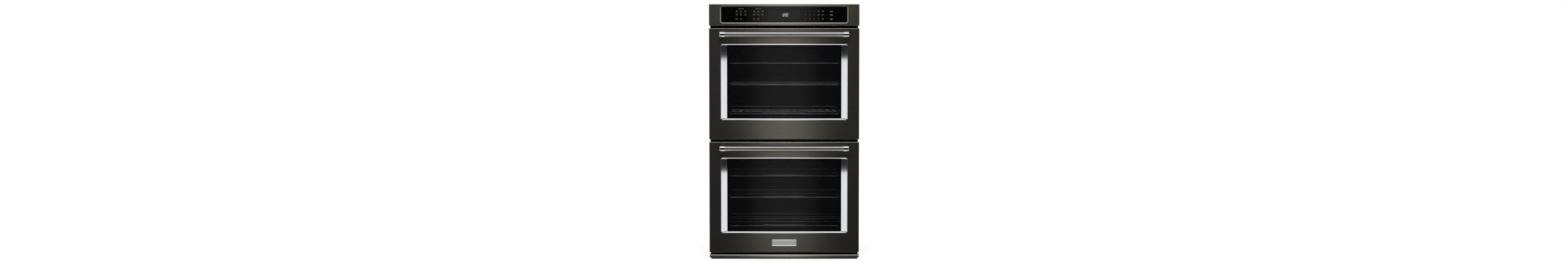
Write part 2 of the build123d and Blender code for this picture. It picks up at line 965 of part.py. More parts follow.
def make_latch_base(z0):
    """Plate behind the face frame with the hook's pivot and the lock motor."""
    z = latch_z(z0)
    top = z - latch_sheet / 2 - latch_rest
    half = latch_plate_width / 2
    rear = latch_pivot + latch_plate_rear
    body = block(-half, half, 0, rear, top - latch_plate, top)
    body += post(pin_radius, top, z + latch_sheet, 0, latch_pivot)
    body += block(
        -half, -half + latch_motor_width, rear - latch_motor_depth, rear, top, top + latch_motor_height
    )
    return body


def make_latch_hook(z0):
    """Flat hook through the frame into the door, barbed at its tip."""
    z = latch_z(z0)
    low, high = z - latch_sheet / 2, z + latch_sheet / 2
    half = latch_width / 2
    tip = door_back - latch_reach
    body = block(-half, half, tip, latch_pivot, low, high)
    body += block(half, half + latch_barb, tip, tip + latch_barb_length, low, high)
    body += post(latch_boss, low, high, 0, latch_pivot)
    return body - post(pin_radius + bearing_gap, low - over_cut, high + over_cut, 0, latch_pivot)


# Racks
def make_rack():
    """Welded wire grid with a hand-hold in front and a raised rear guard, its front rail on the X axis."""
    rear = cavity_depth - baffle_depth - rack_rear_gap - rack_front_gap - 2 * rail_radius
    half = cavity_width / 2 - rack_side_gap - rail_radius
    inner = half - rail_radius
    rail = RegularPolygon(rail_radius, bar_sides, major_radius=False)
    wire = RegularPolygon(wire_radius, bar_sides, major_radius=False)
    path = FilletPolyline((0, 0, 0), (half, 0, 0), (half, rear, 0), (0, rear, 0), radius=rack_corner)
    side_rail = sweep(Plane(origin=(0, 0, 0), x_dir=(0, 1, 0), z_dir=(1, 0, 0)) * rail, path)
    pieces = [side_rail + mirror(side_rail, Plane.YZ)]
    pitch = 2 * (inner - wire_margin) / (wire_count - 1)
    hold = (handhold_wires + 1) / 2 * pitch
    bars = [(place, inner) for place in cross_bar_places] + [(handhold_depth, hold)]
    pieces += [rod(rail, (-reach, y, 0), (reach, y, 0)) for y, reach in bars]
    wire_z = rail_radius + wire_radius
    guard_foot = guard_height - rail_radius
    for x in row(wire_count, pitch):
        start = handhold_depth if abs(x) < hold - pitch / 2 else 0.0
        path = Polyline((x, start, wire_z), (x, rear, wire_z), (x, rear, guard_foot))
        section = Plane(origin=(x, start, wire_z), x_dir=(1, 0, 0), z_dir=(0, 1, 0)) * wire
        pieces.append(sweep(section, path, transition=Transition.RIGHT))
    pieces.append(rod(rail, (-inner, rear, guard_height), (inner, rear, guard_height)))
    return Compound([solid for piece in pieces for solid in piece.solids()])


def rack_place(z0, level):
    """Where a rack's front rail lies when the rack stands on the given guide."""
    top = floor_of(z0) + first_guide + level * guide_pitch
    return Pos(0, rack_front_gap + rail_radius, top + rack_lift + rail_radius)


# Doors
def make_door_skin(z0):
    """Folded steel front: rounded edges, rear lip, window opening, vents and hinge notches."""
    mid = z0 + door_height / 2
    back = door_front + skin_depth
    fold = 2 * skin_sheet
    body = pan(front_width, door_height, door_front, back, mid, front_corner, front_edge)
    body -= pan(
        front_width - fold,
        door_height - fold,
        door_front + skin_sheet,
        back - skin_sheet,
        mid,
        front_corner - skin_sheet,
        front_edge - skin_sheet,
    )
    body -= plate(
        front_width - 2 * skin_lip,
        door_height - 2 * skin_lip,
        liner_corner,
        back - skin_depth / 2,
        back + over_cut,
        mid,
    )
    body -= plate(
        trim_width - 2 * trim_overlap + 2 * trim_fit,
        trim_height - 2 * trim_overlap + 2 * trim_fit,
        trim_corner - trim_overlap + trim_fit,
        door_front - over_cut,
        door_front + skin_depth / 2,
        window_z(z0),
    )
    for x in row(door_vent_count, door_vent_pitch):
        y = door_front + skin_depth / 2
        body -= block(
            x - door_vent_length / 2,
            x + door_vent_length / 2,
            y - door_vent_width / 2,
            y + door_vent_width / 2,
            z0 + door_height - skin_sheet - over_cut,
            z0 + door_height + over_cut,
        )
    for side in sides:
        half = lever_sheet / 2 + cheek_gap + cheek_sheet + hinge_cut
        x = side * hinge_x
        body -= block(
            x - half,
            x + half,
            pin_y - lever_half_height - hinge_cut,
            back + over_cut,
            z0 - over_cut,
            hinge_z(z0) + channel_height + hinge_cut,
        )
    return body


def make_door_liner(z0):
    """Inner pan: window with its glass collar, latch slot and hinge cut-outs."""
    low = hinge_z(z0)
    high = z0 + door_height - liner_top_inset
    width = front_width - 2 * liner_side_inset
    front = door_front + skin_depth
    mid = (low + high) / 2
    fold = 2 * liner_sheet
    back = door_back - liner_sheet
    corner = liner_corner - liner_sheet
    body = plate(width, high - low, liner_corner, front, door_back, mid)
    body -= plate(width - fold, high - low - fold, corner, front - over_cut, back, mid)
    collar_width = glass_width + 2 * (inner_glass_margin + collar_sheet)
    collar_height = glass_height + 2 * (inner_glass_margin + collar_sheet)
    collar = plate(
        collar_width, collar_height, trim_corner, back - pane_spacing, back, window_z(z0)
    )
    collar -= plate(
        collar_width - 2 * collar_sheet,
        collar_height - 2 * collar_sheet,
        trim_corner - collar_sheet,
        back - pane_spacing - over_cut,
        back,
        window_z(z0),
    )
    body += collar
    body -= plate(
        glass_width + 2 * inner_window_margin,
        glass_height + 2 * inner_window_margin,
        trim_corner,
        back - over_cut,
        door_back + over_cut,
        window_z(z0),
    )
    body -= latch_slot(back - over_cut, door_back + over_cut, z0)
    for side in sides:
        half = lever_sheet / 2 + cheek_gap + cheek_sheet + hinge_cut
        x = side * hinge_x
        body -= block(
            x - half,
            x + half,
            front - over_cut,
            door_back + over_cut,
            low - over_cut,
            low + lever_half_height + hinge_cut,
        )
    return body


def make_window_trim(z0):
    """Polished frame that slopes in from a raised rim to the glass."""
    z = window_z(z0)
    front = door_front - trim_lip
    step = 2 * trim_overlap
    bead = 2 * trim_bead
    glass_front = door_front + trim_recess
    body = plate(trim_width, trim_height, trim_corner, front, door_front, z)
    body += plate(trim_width - step, trim_height - step, trim_corner - trim_overlap, front, glass_y, z)
    body -= taper(
        (trim_width - bead, trim_height - bead, trim_corner - trim_bead),
        (glass_width, glass_height, trim_glass_lip),
        front,
        glass_front,
        z,
    )
    sill = (glass_front - over_cut, glass_y + over_cut)
    return body - plate(glass_width, glass_height, trim_glass_lip, *sill, z)


def make_outer_glass(z0):
    return plate(
        glass_width + 2 * glass_margin,
        glass_height + 2 * trim_end,
        trim_corner,
        glass_y,
        glass_y + glass_thickness,
        window_z(z0),
    )


def make_inner_glass(z0):
    """Two panes: one inside the liner's collar, one on the collar's front edge."""
    back = door_back - liner_sheet
    width = glass_width + 2 * inner_glass_margin
    height = glass_height + 2 * inner_glass_margin
    corner = trim_corner - collar_sheet
    z = window_z(z0)
    rear_pane = plate(
        width - 2 * trim_fit, height - 2 * trim_fit, corner, back - glass_thickness, back, z
    )
    front_y = back - pane_spacing
    front_pane = plate(
        width + 2 * collar_sheet,
        height + 2 * collar_sheet,
        trim_corner,
        front_y - glass_thickness,
        front_y,
        z,
    )
    return Compound(rear_pane.solids() + front_pane.solids())


def bar_place(z0):
    return door_front - handle_reach, z0 + door_height - handle_drop


def make_handle_bar(z0):
    y, z = bar_place(z0)
    half = front_width / 2 - handle_inset - cap_length
    tube = drum(handle_radius, -half, half, y, z)
    return tube - drum(handle_radius - handle_wall, -half - over_cut, half + over_cut, y, z)


def make_handle_mount(z0, side):
    """End cap with a rounded outer end, on a post that widens towards the skin."""
    y, z = bar_place(z0)
    outer = side * (front_width / 2 - handle_inset)
    inner = outer - side * cap_length
    mid = (outer + inner) / 2
    body = drum(cap_radius, inner, outer, y, z)
    body = fillet(body.edges().sort_by(Axis.X)[-1 if side > 0 else 0], cap_round)
    neck = front_plane(y, mid, z) * Rectangle(post_width, post_height)
    foot = front_plane(door_front, mid, z) * Rectangle(foot_width, foot_height)
    return body + loft([neck, foot], ruled=True)


def make_badge_plate():
    """Bare raised plate with a bevelled rim round a sunken field."""
    z = lower_z + badge_rise
    front = door_front - badge_depth
    body = plate(badge_width, badge_height, badge_corner, front, door_front, z)
    body = chamfer(body.faces().sort_by(Axis.Y)[0].edges(), badge_field)
    return body - plate(
        badge_width - 2 * badge_rim,
        badge_height - 2 * badge_rim,
        badge_corner,
        front - over_cut,
        front + badge_field,
        z,
    )


# Control panel
def screen_z():
    return (panel_top - screen_top + panel_z + screen_bottom) / 2


def screen_size():
    return front_width - 2 * screen_side, panel_height - screen_top - screen_bottom


def make_control_bezel():
    """Hollow front in the doors' steel, with a bevelled opening for the glass."""
    mid = panel_z + panel_height / 2
    wall = 2 * bezel_wall
    width, height = screen_size()
    bevel = 2 * screen_bevel
    body = pan(front_width, panel_height, door_front, -frame_sheet, mid, front_corner, front_edge)
    body -= plate(
        front_width - wall,
        panel_height - wall,
        front_corner - bezel_wall,
        door_front + bezel_face,
        -frame_sheet + over_cut,
        mid,
    )
    return body - taper(
        (width + bevel, height + bevel, screen_corner + screen_bevel),
        (width, height, screen_corner),
        door_front,
        door_front + bezel_face,
        screen_z(),
    )


def make_control_glass():
    width, height = screen_size()
    y0 = door_front + bezel_face
    margin = 2 * control_glass_margin
    return plate(width + margin, height + margin, screen_corner, y0, y0 + control_glass_depth, screen_z())


def display_back():
    return door_front + bezel_face + control_glass_depth + display_depth


def make_display_board():
    """Circuit board with the display block against the glass."""
    y0 = display_back()
    z = screen_z()
    body = block(
        -board_width / 2, board_width / 2, y0, y0 + board_sheet, z - board_height / 2, z + board_height / 2
    )
    return body + block(
        -display_width / 2,
        display_width / 2,
        y0 - display_depth,
        y0,
        z - display_height / 2,
        z + display_height / 2,
    )


def make_control_tray():
    """Back plate with the posts that carry the display board."""
    width, height = screen_size()
    z = screen_z()
    half_width, half_height = width / 2 - tray_margin, height / 2 - tray_margin
    y1 = -frame_sheet
    body = block(-half_width, half_width, y1 - tray_sheet, y1, z - half_height, z + half_height)
    for x in row(2, board_width - 2 * post_inset):
        for offset in row(2, board_height - 2 * post_inset):
            body += stub(post_radius, display_back() + board_sheet, y1 - tray_sheet, x, z + offset)
    return body


def make_relay_board():
    """Power board on posts on the deck, with relays and a transformer."""
    x0 = -inner_half + relay_inset
    y0 = insulation_front
    x1, y1 = x0 + relay_board_width, y0 + relay_board_depth
    z = deck_top + relay_post
    top = z + board_sheet
    body = block(x0, x1, y0, y1, z, top)
    for x in (x0 + post_inset, x1 - post_inset):
        for y in (y0 + post_inset, y1 - post_inset):
            body += block(
                x - post_radius, x + post_radius, y - post_radius, y + post_radius, deck_top, z
            )
    relay_x = x0 + post_inset
    for offset in row(relay_count, relay_pitch):
        y = (y0 + y1) / 2 + offset
        body += block(relay_x, relay_x + relay_size, y, y + relay_size, top, top + relay_size)
    body += block(
        x1 - post_inset - transformer_size,
        x1 - post_inset,
        y1 - post_inset - transformer_size,
        y1 - post_inset,
        top,
        top + transformer_size,
    )
    return body


# Cooling blower
def blower_place():
    radius = wheel_radius + wheel_gap + scroll_sheet
    return casing_depth - blower_rear_gap - radius, deck_top + radius


def scroll(radius, shrink, half_length):
    """The blower's outer form, or its inside when shrunk by the sheet."""
    y, z = blower_place()
    body = drum(radius, -half_length, half_length, y, z)
    return body + block(
        -half_length,
        half_length,
        duct_front_gap if shrink == 0 else duct_front_gap - over_cut,
        y,
        deck_top + shrink,
        deck_top + duct_height - shrink,
    )


def make_blower_housing():
    """Scroll and duct that blow over the deck to the front vents, with a slot above for intake."""
    y, z = blower_place()
    half = blower_length / 2
    radius = wheel_radius + wheel_gap + scroll_sheet
    body = scroll(radius, 0.0, half)
    body -= scroll(radius - scroll_sheet, scroll_sheet, half - scroll_sheet)
    inlet = half - wheel_end_gap - scroll_sheet
    body -= block(-inlet, inlet, y, y + inlet_width, z + wheel_radius / 2, z + radius + over_cut)
    return body - drum(shaft_radius + bearing_gap, -half - over_cut, half + over_cut, y, z)


def make_blower_wheel():
    """Long drum of leaning blades between three discs on a shaft."""
    y, z = blower_place()
    half = blower_length / 2 - scroll_sheet - wheel_end_gap
    body = drum(shaft_radius, -blower_length / 2 - blower_shaft_grip, blower_length / 2, y, z)
    for x in (-half, -wheel_disc / 2, half - wheel_disc):
        body += drum(wheel_radius, x, x + wheel_disc, y, z)
    blade = Pos(0, 0, wheel_radius - wheel_blade_depth / 2) * Rot(wheel_blade_lean, 0, 0) * Box(
        2 * half, wheel_blade_sheet, wheel_blade_depth
    )
    for i in range(wheel_blades):
        body += Pos(0, y, z) * Rot(i * 360 / wheel_blades, 0, 0) * blade
    return body


def make_blower_motor():
    y, z = blower_place()
    x1 = -blower_length / 2
    body = drum(blower_motor_radius, x1 - blower_motor_length, x1, y, z)
    return body - drum(shaft_radius + bearing_gap, x1 - blower_shaft_grip - over_cut, x1 + over_cut, y, z)


# Base trim
def make_base_trim():
    """Moulding under the lower door: flat top, rounded nosing, groove and fascia."""
    top = base_height - trim_gap
    back = -frame_sheet
    fascia_y = door_front + nosing_groove
    lip = top - nosing_radius - nosing_groove
    shelf_y = door_front + nosing_radius
    fascia_top = strip_height + fascia_height
    nose_centre = (shelf_y, top - nosing_radius)
    nose = CenterArc(nose_centre, nosing_radius, 90, 90)
    rest = Polyline(
        (door_front, top - nosing_radius),
        (door_front, lip),
        (fascia_y + nosing_groove, lip),
        (fascia_y + nosing_groove, fascia_top),
        (fascia_y, fascia_top),
        (fascia_y, strip_height),
        (back, strip_height),
        (back, top),
        (shelf_y, top),
    )
    outline = make_face(Plane.YZ * (nose + rest))
    half = front_width / 2 - nosing_groove
    return Pos(-half, 0, 0) * extrude(outline, 2 * half)


def make_base_strip():
    """Black strip under the trim, on the shelf line."""
    half = frame_width / 2 - strip_setback
    return block(-half, half, door_front + strip_setback, -frame_sheet, 0, strip_height)


def both(make):
    """The same piece in both ovens, as separate solids."""
    return Compound([solid for z0 in oven_z.values() for solid in make(z0).solids()])


def pair(make, z0):
    """The same piece on the left and on the right, as separate solids."""
    return Compound([solid for side in sides for solid in make(z0, side).solids()])


def every_hinge(make):
    """The same piece at all four hinges, as separate solids."""
    pieces = [make(z0, side) for z0 in oven_z.values() for side in sides]
    return Compound([solid for piece in pieces for solid in piece.solids()])


nodes = {
    "left_side_panel": make_side_panel(-1),
    "right_side_panel": make_side_panel(1),
    "top_cover": make_top_cover(),
    "base_pan": make_base_pan(),
    "rear_cover": make_rear_cover(),
    "conduit_plate": make_conduit_plate(),
    "front_frame": make_front_frame(),
    "service_deck": make_service_deck(),
    "insulation": both(make_insulation),
    "broil_elements": both(make_broil_element),
    "bake_elements": both(make_bake_element),
    "convection_rings": both(make_convection_ring),
    "fan_baffles": both(make_fan_baffle),
    "fan_motors": both(make_fan_motor),
    "lamp_lenses": both(make_lamp_lens),
    "lamp_sockets": both(make_lamp_socket),
    "temperature_probes": both(make_probe),
    "door_gaskets": both(make_gasket),
    "hinge_receivers": every_hinge(make_hinge_receiver),
    "hinge_levers": every_hinge(make_hinge_lever),
    "latch_bases": both(make_latch_base),
    "control_bezel": make_control_bezel(),
    "control_glass": make_control_glass(),
    "display_board": make_display_board(),
    "control_tray": make_control_tray(),
    "relay_board": make_relay_board(),
    "blower_housing": make_blower_housing(),
    "blower_wheel": make_blower_wheel(),
    "blower_motor": make_blower_motor(),
    "base_trim": make_base_trim(),
    "base_strip": make_base_strip(),
    "badge_plate": make_badge_plate(),
}
rack = make_rack()
for oven, z0 in oven_z.items():
    nodes[f"{oven}_cavity"] = make_cavity(z0)
    nodes[f"{oven}_fan"] = make_fan(z0)
    nodes[f"{oven}_latch_hook"] = make_latch_hook(z0)
    nodes[f"{oven}_door_skin"] = make_door_skin(z0)
    nodes[f"{oven}_door_liner"] = make_door_liner(z0)
    nodes[f"{oven}_window_trim"] = make_window_trim(z0)
    nodes[f"{oven}_outer_glass"] = make_outer_glass(z0)
    nodes[f"{oven}_inner_glass"] = make_inner_glass(z0)
    nodes[f"{oven}_handle_bar"] = make_handle_bar(z0)
    nodes[f"{oven}_handle_mounts"] = pair(make_handle_mount, z0)
    nodes[f"{oven}_hinge_channels"] = pair(make_hinge_channel, z0)
    for name, level in rack_levels.items():
        nodes[f"{oven}_{name}_rack"] = rack_place(z0, level) * rack

os.makedirs("parts", exist_ok=True)
for name, shape in nodes.items():
    export_step(shape, f"parts/{name}.step")
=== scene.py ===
import json
import math

import bpy
import numpy as np
from mathutils import Matrix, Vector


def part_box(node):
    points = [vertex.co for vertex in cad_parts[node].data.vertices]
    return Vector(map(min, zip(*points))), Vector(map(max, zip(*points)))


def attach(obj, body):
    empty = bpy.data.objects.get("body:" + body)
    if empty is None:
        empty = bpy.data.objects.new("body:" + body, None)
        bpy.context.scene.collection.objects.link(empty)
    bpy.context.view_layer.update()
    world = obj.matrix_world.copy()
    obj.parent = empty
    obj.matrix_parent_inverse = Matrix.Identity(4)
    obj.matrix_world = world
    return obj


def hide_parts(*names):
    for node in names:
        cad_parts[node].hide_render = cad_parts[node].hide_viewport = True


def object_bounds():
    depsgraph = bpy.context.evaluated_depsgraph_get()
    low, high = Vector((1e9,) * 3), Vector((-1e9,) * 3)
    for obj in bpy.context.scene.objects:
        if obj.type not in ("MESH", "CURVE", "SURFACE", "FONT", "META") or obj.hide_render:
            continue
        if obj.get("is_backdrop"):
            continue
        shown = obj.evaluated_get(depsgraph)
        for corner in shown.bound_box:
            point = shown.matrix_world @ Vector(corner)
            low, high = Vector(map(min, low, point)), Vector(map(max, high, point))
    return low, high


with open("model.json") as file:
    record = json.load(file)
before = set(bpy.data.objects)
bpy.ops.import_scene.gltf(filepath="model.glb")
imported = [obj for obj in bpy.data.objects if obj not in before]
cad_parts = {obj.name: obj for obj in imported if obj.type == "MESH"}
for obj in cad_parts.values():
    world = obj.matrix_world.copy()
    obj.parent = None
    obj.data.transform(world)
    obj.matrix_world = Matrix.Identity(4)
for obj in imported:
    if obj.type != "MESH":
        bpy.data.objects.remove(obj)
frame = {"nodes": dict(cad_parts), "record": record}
cadLow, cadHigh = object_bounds()
nodes = frame["nodes"]
ovens = ("upper", "lower")
mm = 0.001
print("frame loaded:", len(nodes), "nodes")


# sRGB hex text to linear colour
def linear(hexText):
    raw = np.array([int(hexText[i:i + 2], 16) for i in (0, 2, 4)]) / 255
    low, high = raw / 12.92, ((raw + 0.055) / 1.055) ** 2.4
    return (*np.where(raw <= 0.04045, low, high).tolist(), 1.0)


# adds a node, sets its options, and fills its sockets with values or links
def addNode(tree, kind, options={}, inputs={}):
    node = tree.nodes.new("ShaderNode" + kind)
    for name, value in options.items():
        setattr(node, name, value)
    for key, value in inputs.items():
        if isinstance(value, bpy.types.NodeSocket):
            tree.links.new(value, node.inputs[key])
        else:
            node.inputs[key].default_value = value
    return node


grainNoise = {"detail": 3.0, "least": 0.3, "most": 0.7}


# noise of a grain this many millimetres long in x, y and z, its middle values spread from low to high
def grainSpan(tree, place, grain, low, high):
    scale = [1 / (size * mm) for size in grain]
    stretched = addNode(tree, "Mapping", {}, {"Vector": place, "Scale": scale})
    noise = addNode(tree, "TexNoise", {}, {
        "Vector": stretched.outputs[0], "Scale": 1.0, "Detail": grainNoise["detail"]})
    span = addNode(tree, "MapRange", {}, {
        "Value": noise.outputs[0], 1: grainNoise["least"], 2: grainNoise["most"], 3: low, 4: high})
    return span.outputs[0]


# builds a finish: constants go on the shader's sockets, and grains on Object coordinates drive
# the colour (dark to light), the roughness (low to high) and the relief (depth in millimetres)
def makeFinish(name, sockets, tint=None, rough=None, relief=None):
    material = bpy.data.materials.new(name)
    material.use_nodes = True
    tree = material.node_tree
    shader = tree.nodes["Principled BSDF"]
    for socket, value in sockets.items():
        shader.inputs[socket].default_value = value
    place = addNode(tree, "TexCoord").outputs["Object"]
    if tint:
        grain, dark, light = tint
        shade = addNode(tree, "Mix", {"data_type": "RGBA"}, {
            0: grainSpan(tree, place, grain, 0.0, 1.0), 6: linear(dark), 7: linear(light)})
        tree.links.new(shade.outputs[2], shader.inputs["Base Color"])
    if rough:
        tree.links.new(grainSpan(tree, place, *rough), shader.inputs["Roughness"])
    if relief:
        grain, depth = relief
        height = grainSpan(tree, place, grain, 0.0, 1.0)
        bump = addNode(tree, "Bump", {}, {"Height": height, "Distance": depth * mm})
        tree.links.new(bump.outputs[0], shader.inputs["Normal"])
    return material, tree, shader, place


finishes = {}

# brushed stainless sheet with a dark warm coating: the level grain smears lights into upright bands; a
# painted highlight makes the rounded edges paler, all but the lower ones, and painted shade makes the flat
# tops of the doors blacker;
# the panel's sheet is a shade paler than the doors' and the moulding under the doors paler still, both
# painted light
# turned and notSide run from none to all over how far a face looks to the front or back, the other two over
# how far it looks up
blackSheet = {"blackStainless": ("56544d", "5d5a53"), "panelPaintedLight": ("6a675f", "716e66"),
              "mouldingPaintedHighlight": ("8b877e", "98948a"), "paintedEdgeHighlight": "c8c4ba", "paintedGapShade": "262521",
              "grain": (160, 160, 0.9), "smear": ((220, 220, 2.2), 0.29, 0.32), "turned": (0.97, 0.8),
              "notSide": (0.1, 0.35), "notUnder": (-0.3, 0.0), "level": (0.93, 0.99)}
sheets = {}
for name in ("mouldingPaintedHighlight", "panelPaintedLight", "blackStainless"):
    material, tree, shader, place = makeFinish(name, {
        "Metallic": 1.0, "Anisotropic": 0.85, "Anisotropic Rotation": 0.25},
        (blackSheet["grain"], *blackSheet[name]), blackSheet["smear"])
    facing = addNode(tree, "SeparateXYZ", {}, {"Vector": place.node.outputs["Normal"]})
    front = addNode(tree, "Math", {"operation": "ABSOLUTE"}, {0: facing.outputs[1]})
    masks = {}
    for mask, value in (("turned", front.outputs[0]), ("notSide", front.outputs[0]),
                        ("notUnder", facing.outputs[2]), ("level", facing.outputs[2])):
        start, end = blackSheet[mask]
        masks[mask] = addNode(tree, "MapRange", {}, {"Value": value, 1: start, 2: end}).outputs[0]
    edge = addNode(tree, "Math", {"operation": "MULTIPLY"}, {0: masks["turned"], 1: masks["notSide"]})
    edge = addNode(tree, "Math", {"operation": "MULTIPLY"}, {0: edge.outputs[0], 1: masks["notUnder"]})
    sheet = shader.inputs["Base Color"].links[0].from_socket
    # painted highlight: the rounded edges, all but the lower ones, are mixed toward a pale colour
    shade = addNode(tree, "Mix", {"data_type": "RGBA"}, {
        0: edge.outputs[0], 6: sheet, 7: linear(blackSheet["paintedEdgeHighlight"])})
    # painted shade: faces of the door sheet that look up are mixed toward near-black, as inside the gaps
    if name == "blackStainless":
        shade = addNode(tree, "Mix", {"data_type": "RGBA"}, {
            0: masks["level"], 6: shade.outputs[2], 7: linear(blackSheet["paintedGapShade"])})
    tree.links.new(shade.outputs[2], shader.inputs["Base Color"])
    sheets[name] = material
finishes["black_stainless"] = sheets["blackStainless"]

# polished chrome plate: a mirror with the faintest wiping haze
finishes["polished_chrome"] = makeFinish("polishedChrome", {
    "Base Color": linear("d8dadc"), "Metallic": 1.0}, rough=((90, 90, 90), 0.05, 0.06))[0]

# knurled satin stainless: each facet is softly brushed, so the bar glitters along its length
finishes["satin_steel"] = makeFinish("satinSteel", {
    "Base Color": linear("bebdbb"), "Metallic": 1.0}, rough=((8, 8, 8), 0.36, 0.42))[0]

# satin aluminium plate: pale grey with short level scratches
finishes["badge_metal"] = makeFinish("satinAluminium", {"Metallic": 0.35, "Roughness": 0.5},
                                     ((30, 30, 0.9), "cccdd0", "d2d3d6"))[0]

# black powder coat: a fine orange-peel skin that dulls the light
finishes["black_paint"] = makeFinish("blackPowderCoat", {
    "Base Color": linear("060607"), "Specular IOR Level": 0.25}, rough=((25, 25, 25), 0.48, 0.58),
    relief=((2, 2, 2), 0.08))[0]

# hot-dip galvanised sheet: soft spangles about 12 mm across, each crystal its own grey, under a dull bloom
zinc = {"spangle": 12.0, "soft": 0.35, "dark": "b2b7ba", "light": "c6cacc", "rough": (0.4, 0.48)}
material, tree, shader, place = makeFinish("galvanisedSheet", {"Metallic": 0.7})
spangle = addNode(tree, "TexVoronoi", {"feature": "SMOOTH_F1"}, {
    "Vector": place, "Scale": 1 / (zinc["spangle"] * mm), "Smoothness": zinc["soft"]})
shade = addNode(tree, "SeparateColor", {}, {"Color": spangle.outputs["Color"]})
crystal = addNode(tree, "Mix", {"data_type": "RGBA"}, {
    0: shade.outputs[0], 6: linear(zinc["dark"]), 7: linear(zinc["light"])})
tree.links.new(crystal.outputs[2], shader.inputs["Base Color"])
low, high = zinc["rough"]
span = addNode(tree, "MapRange", {}, {"Value": shade.outputs[1], 3: low, 4: high})
tree.links.new(span.outputs[0], shader.inputs["Roughness"])
finishes["galvanised_sheet"] = material

# porcelain enamel fired on steel: black with a soft glassy shine and pale flecks, drawn over 1 mm wide so
# that they show; a fleck fades out between two shares of the spacing
enamel = {"black_enamel": ("blackEnamel", "0d0e10"), "baffle_enamel": ("greyEnamel", "1a1b1e"),
          "fleck": "4a4e54", "spacing": 4.0, "fade": (0.12, 0.2)}
for slot in ("black_enamel", "baffle_enamel"):
    name, ground = enamel[slot]
    material, tree, shader, place = makeFinish(
        name, {"Specular IOR Level": 0.25}, rough=((30, 30, 30), 0.28, 0.38))
    fleck = addNode(tree, "TexVoronoi", {}, {"Vector": place, "Scale": 1 / (enamel["spacing"] * mm)})
    start, end = enamel["fade"]
    dot = addNode(tree, "MapRange", {}, {
        "Value": fleck.outputs["Distance"], 1: start, 2: end, 3: 1.0, 4: 0.0})
    speckled = addNode(tree, "Mix", {"data_type": "RGBA"}, {
        0: dot.outputs[0], 6: linear(ground), 7: linear(enamel["fleck"])})
    tree.links.new(speckled.outputs[2], shader.inputs["Base Color"])
    finishes[slot] = material

# mineral wool blanket: straw-coloured matted fibre with no shine
finishes["mineral_wool"] = makeFinish("mineralWool", {"Roughness": 0.95, "Specular IOR Level": 0.1},
                                      ((14, 14, 3), "a8935f", "d3c294"), relief=((14, 14, 3), 2.0))[0]

# nickel alloy element sheath: heat has turned it a mottled grey brown
finishes["element_sheath"] = makeFinish("heatedSheath", {"Metallic": 1.0, "Roughness": 0.42},
                                        ((18, 18, 18), "4a4542", "6b625c"))[0]

# zinc-plated pressed steel: bright and slightly streaked
finishes["bright_steel"] = makeFinish("zincSteel", {
    "Base Color": linear("bcc0c2"), "Metallic": 1.0}, rough=((40, 8, 2), 0.2, 0.34))[0]

# laminated motor steel: dull grey, its plates showing as fine lines
finishes["motor_steel"] = makeFinish("motorSteel", {"Metallic": 1.0, "Roughness": 0.45},
                                     ((60, 1.5, 60), "6f7274", "94979a"))[0]

# pressed lamp glass: thick, clear and a little wavy
finishes["lamp_glass"] = makeFinish("lampGlass", {
    "Base Color": linear("8f928f"), "Alpha": 0.35, "Roughness": 0.08}, relief=((6, 6, 6), 0.4))[0]

# glazed ceramic: warm white with a soft shine
finishes["white_ceramic"] = makeFinish("glazedCeramic", {"Roughness": 0.25},
                                       ((8, 8, 8), "e2ddd2", "efebe3"))[0]

# braided glass-fibre rope: charcoal yarn, dry to the eye
finishes["woven_gasket"] = makeFinish("braidedGlassFibre", {"Roughness": 0.85, "Sheen Weight": 0.2},
                                      ((2, 2, 2), "383735", "5a5854"))[0]

# tinted float glass: black where the room reflects, with the oven showing faintly through
finishes["tinted_glass"] = makeFinish("tintedGlass", {
    "Base Color": linear("0f0f11"), "Alpha": 0.58, "Specular IOR Level": 0.06},
    rough=((120, 120, 120), 0.02, 0.05))[0]

# clear heat-proof glass: nearly unseen, a trace of green
finishes["clear_glass"] = makeFinish("clearGlass", {
    "Base Color": linear("0c0f0d"), "Alpha": 0.06}, rough=((120, 120, 120), 0.02, 0.05))[0]

# black-backed touch glass: the display window behind it is a shade paler than the rest
screen = {"centre": (0.0, 1233.0), "half": (78.5, 22.5), "soft": 1.5, "back": "070708",
          "window": "17171a"}
material, tree, shader, place = makeFinish("touchGlass", {"Specular IOR Level": 0.15},
                                           rough=((60, 60, 60), 0.03, 0.06))
axes = addNode(tree, "SeparateXYZ", {}, {"Vector": place})
inside = []
for output, middle, half in zip((0, 2), screen["centre"], screen["half"]):
    off = addNode(tree, "Math", {"operation": "SUBTRACT"}, {0: axes.outputs[output], 1: middle * mm})
    away = addNode(tree, "Math", {"operation": "ABSOLUTE"}, {0: off.outputs[0]})
    fade = addNode(tree, "MapRange", {}, {
        "Value": away.outputs[0], 1: half * mm, 2: (half + screen["soft"]) * mm, 3: 1.0, 4: 0.0})
    inside.append(fade.outputs[0])
both = addNode(tree, "Math", {"operation": "MULTIPLY"}, {0: inside[0], 1: inside[1]})
backing = addNode(tree, "Mix", {"data_type": "RGBA"}, {
    0: both.outputs[0], 6: linear(screen["back"]), 7: linear(screen["window"])})
tree.links.new(backing.outputs[2], shader.inputs["Base Color"])
finishes["control_glass"] = material

# glass-fibre circuit board: green solder mask with paler copper runs, two to each repeat
board = {"repeat": 22.0, "stagger": 0.37, "run": 0.03, "masks": ("175a34", "1d6a3d"), "copper": "3f9a5a"}
material, tree, shader, place = makeFinish("circuitBoard", {"Roughness": 0.35})
dark, light = board["masks"]
runs = addNode(tree, "TexBrick", {"offset": board["stagger"]}, {
    "Vector": place, "Scale": 1 / (board["repeat"] * mm), "Color1": linear(dark), "Color2": linear(light),
    "Mortar": linear(board["copper"]), "Mortar Size": board["run"]})
tree.links.new(runs.outputs[0], shader.inputs["Base Color"])
finishes["circuit_board"] = material

# moulded ABS: black with a fine spark-eroded texture
finishes["black_plastic"] = makeFinish("mouldedAbs", {"Base Color": linear("0c0c0d")},
                                       rough=((10, 10, 10), 0.42, 0.55), relief=((1, 1, 1), 0.05))[0]

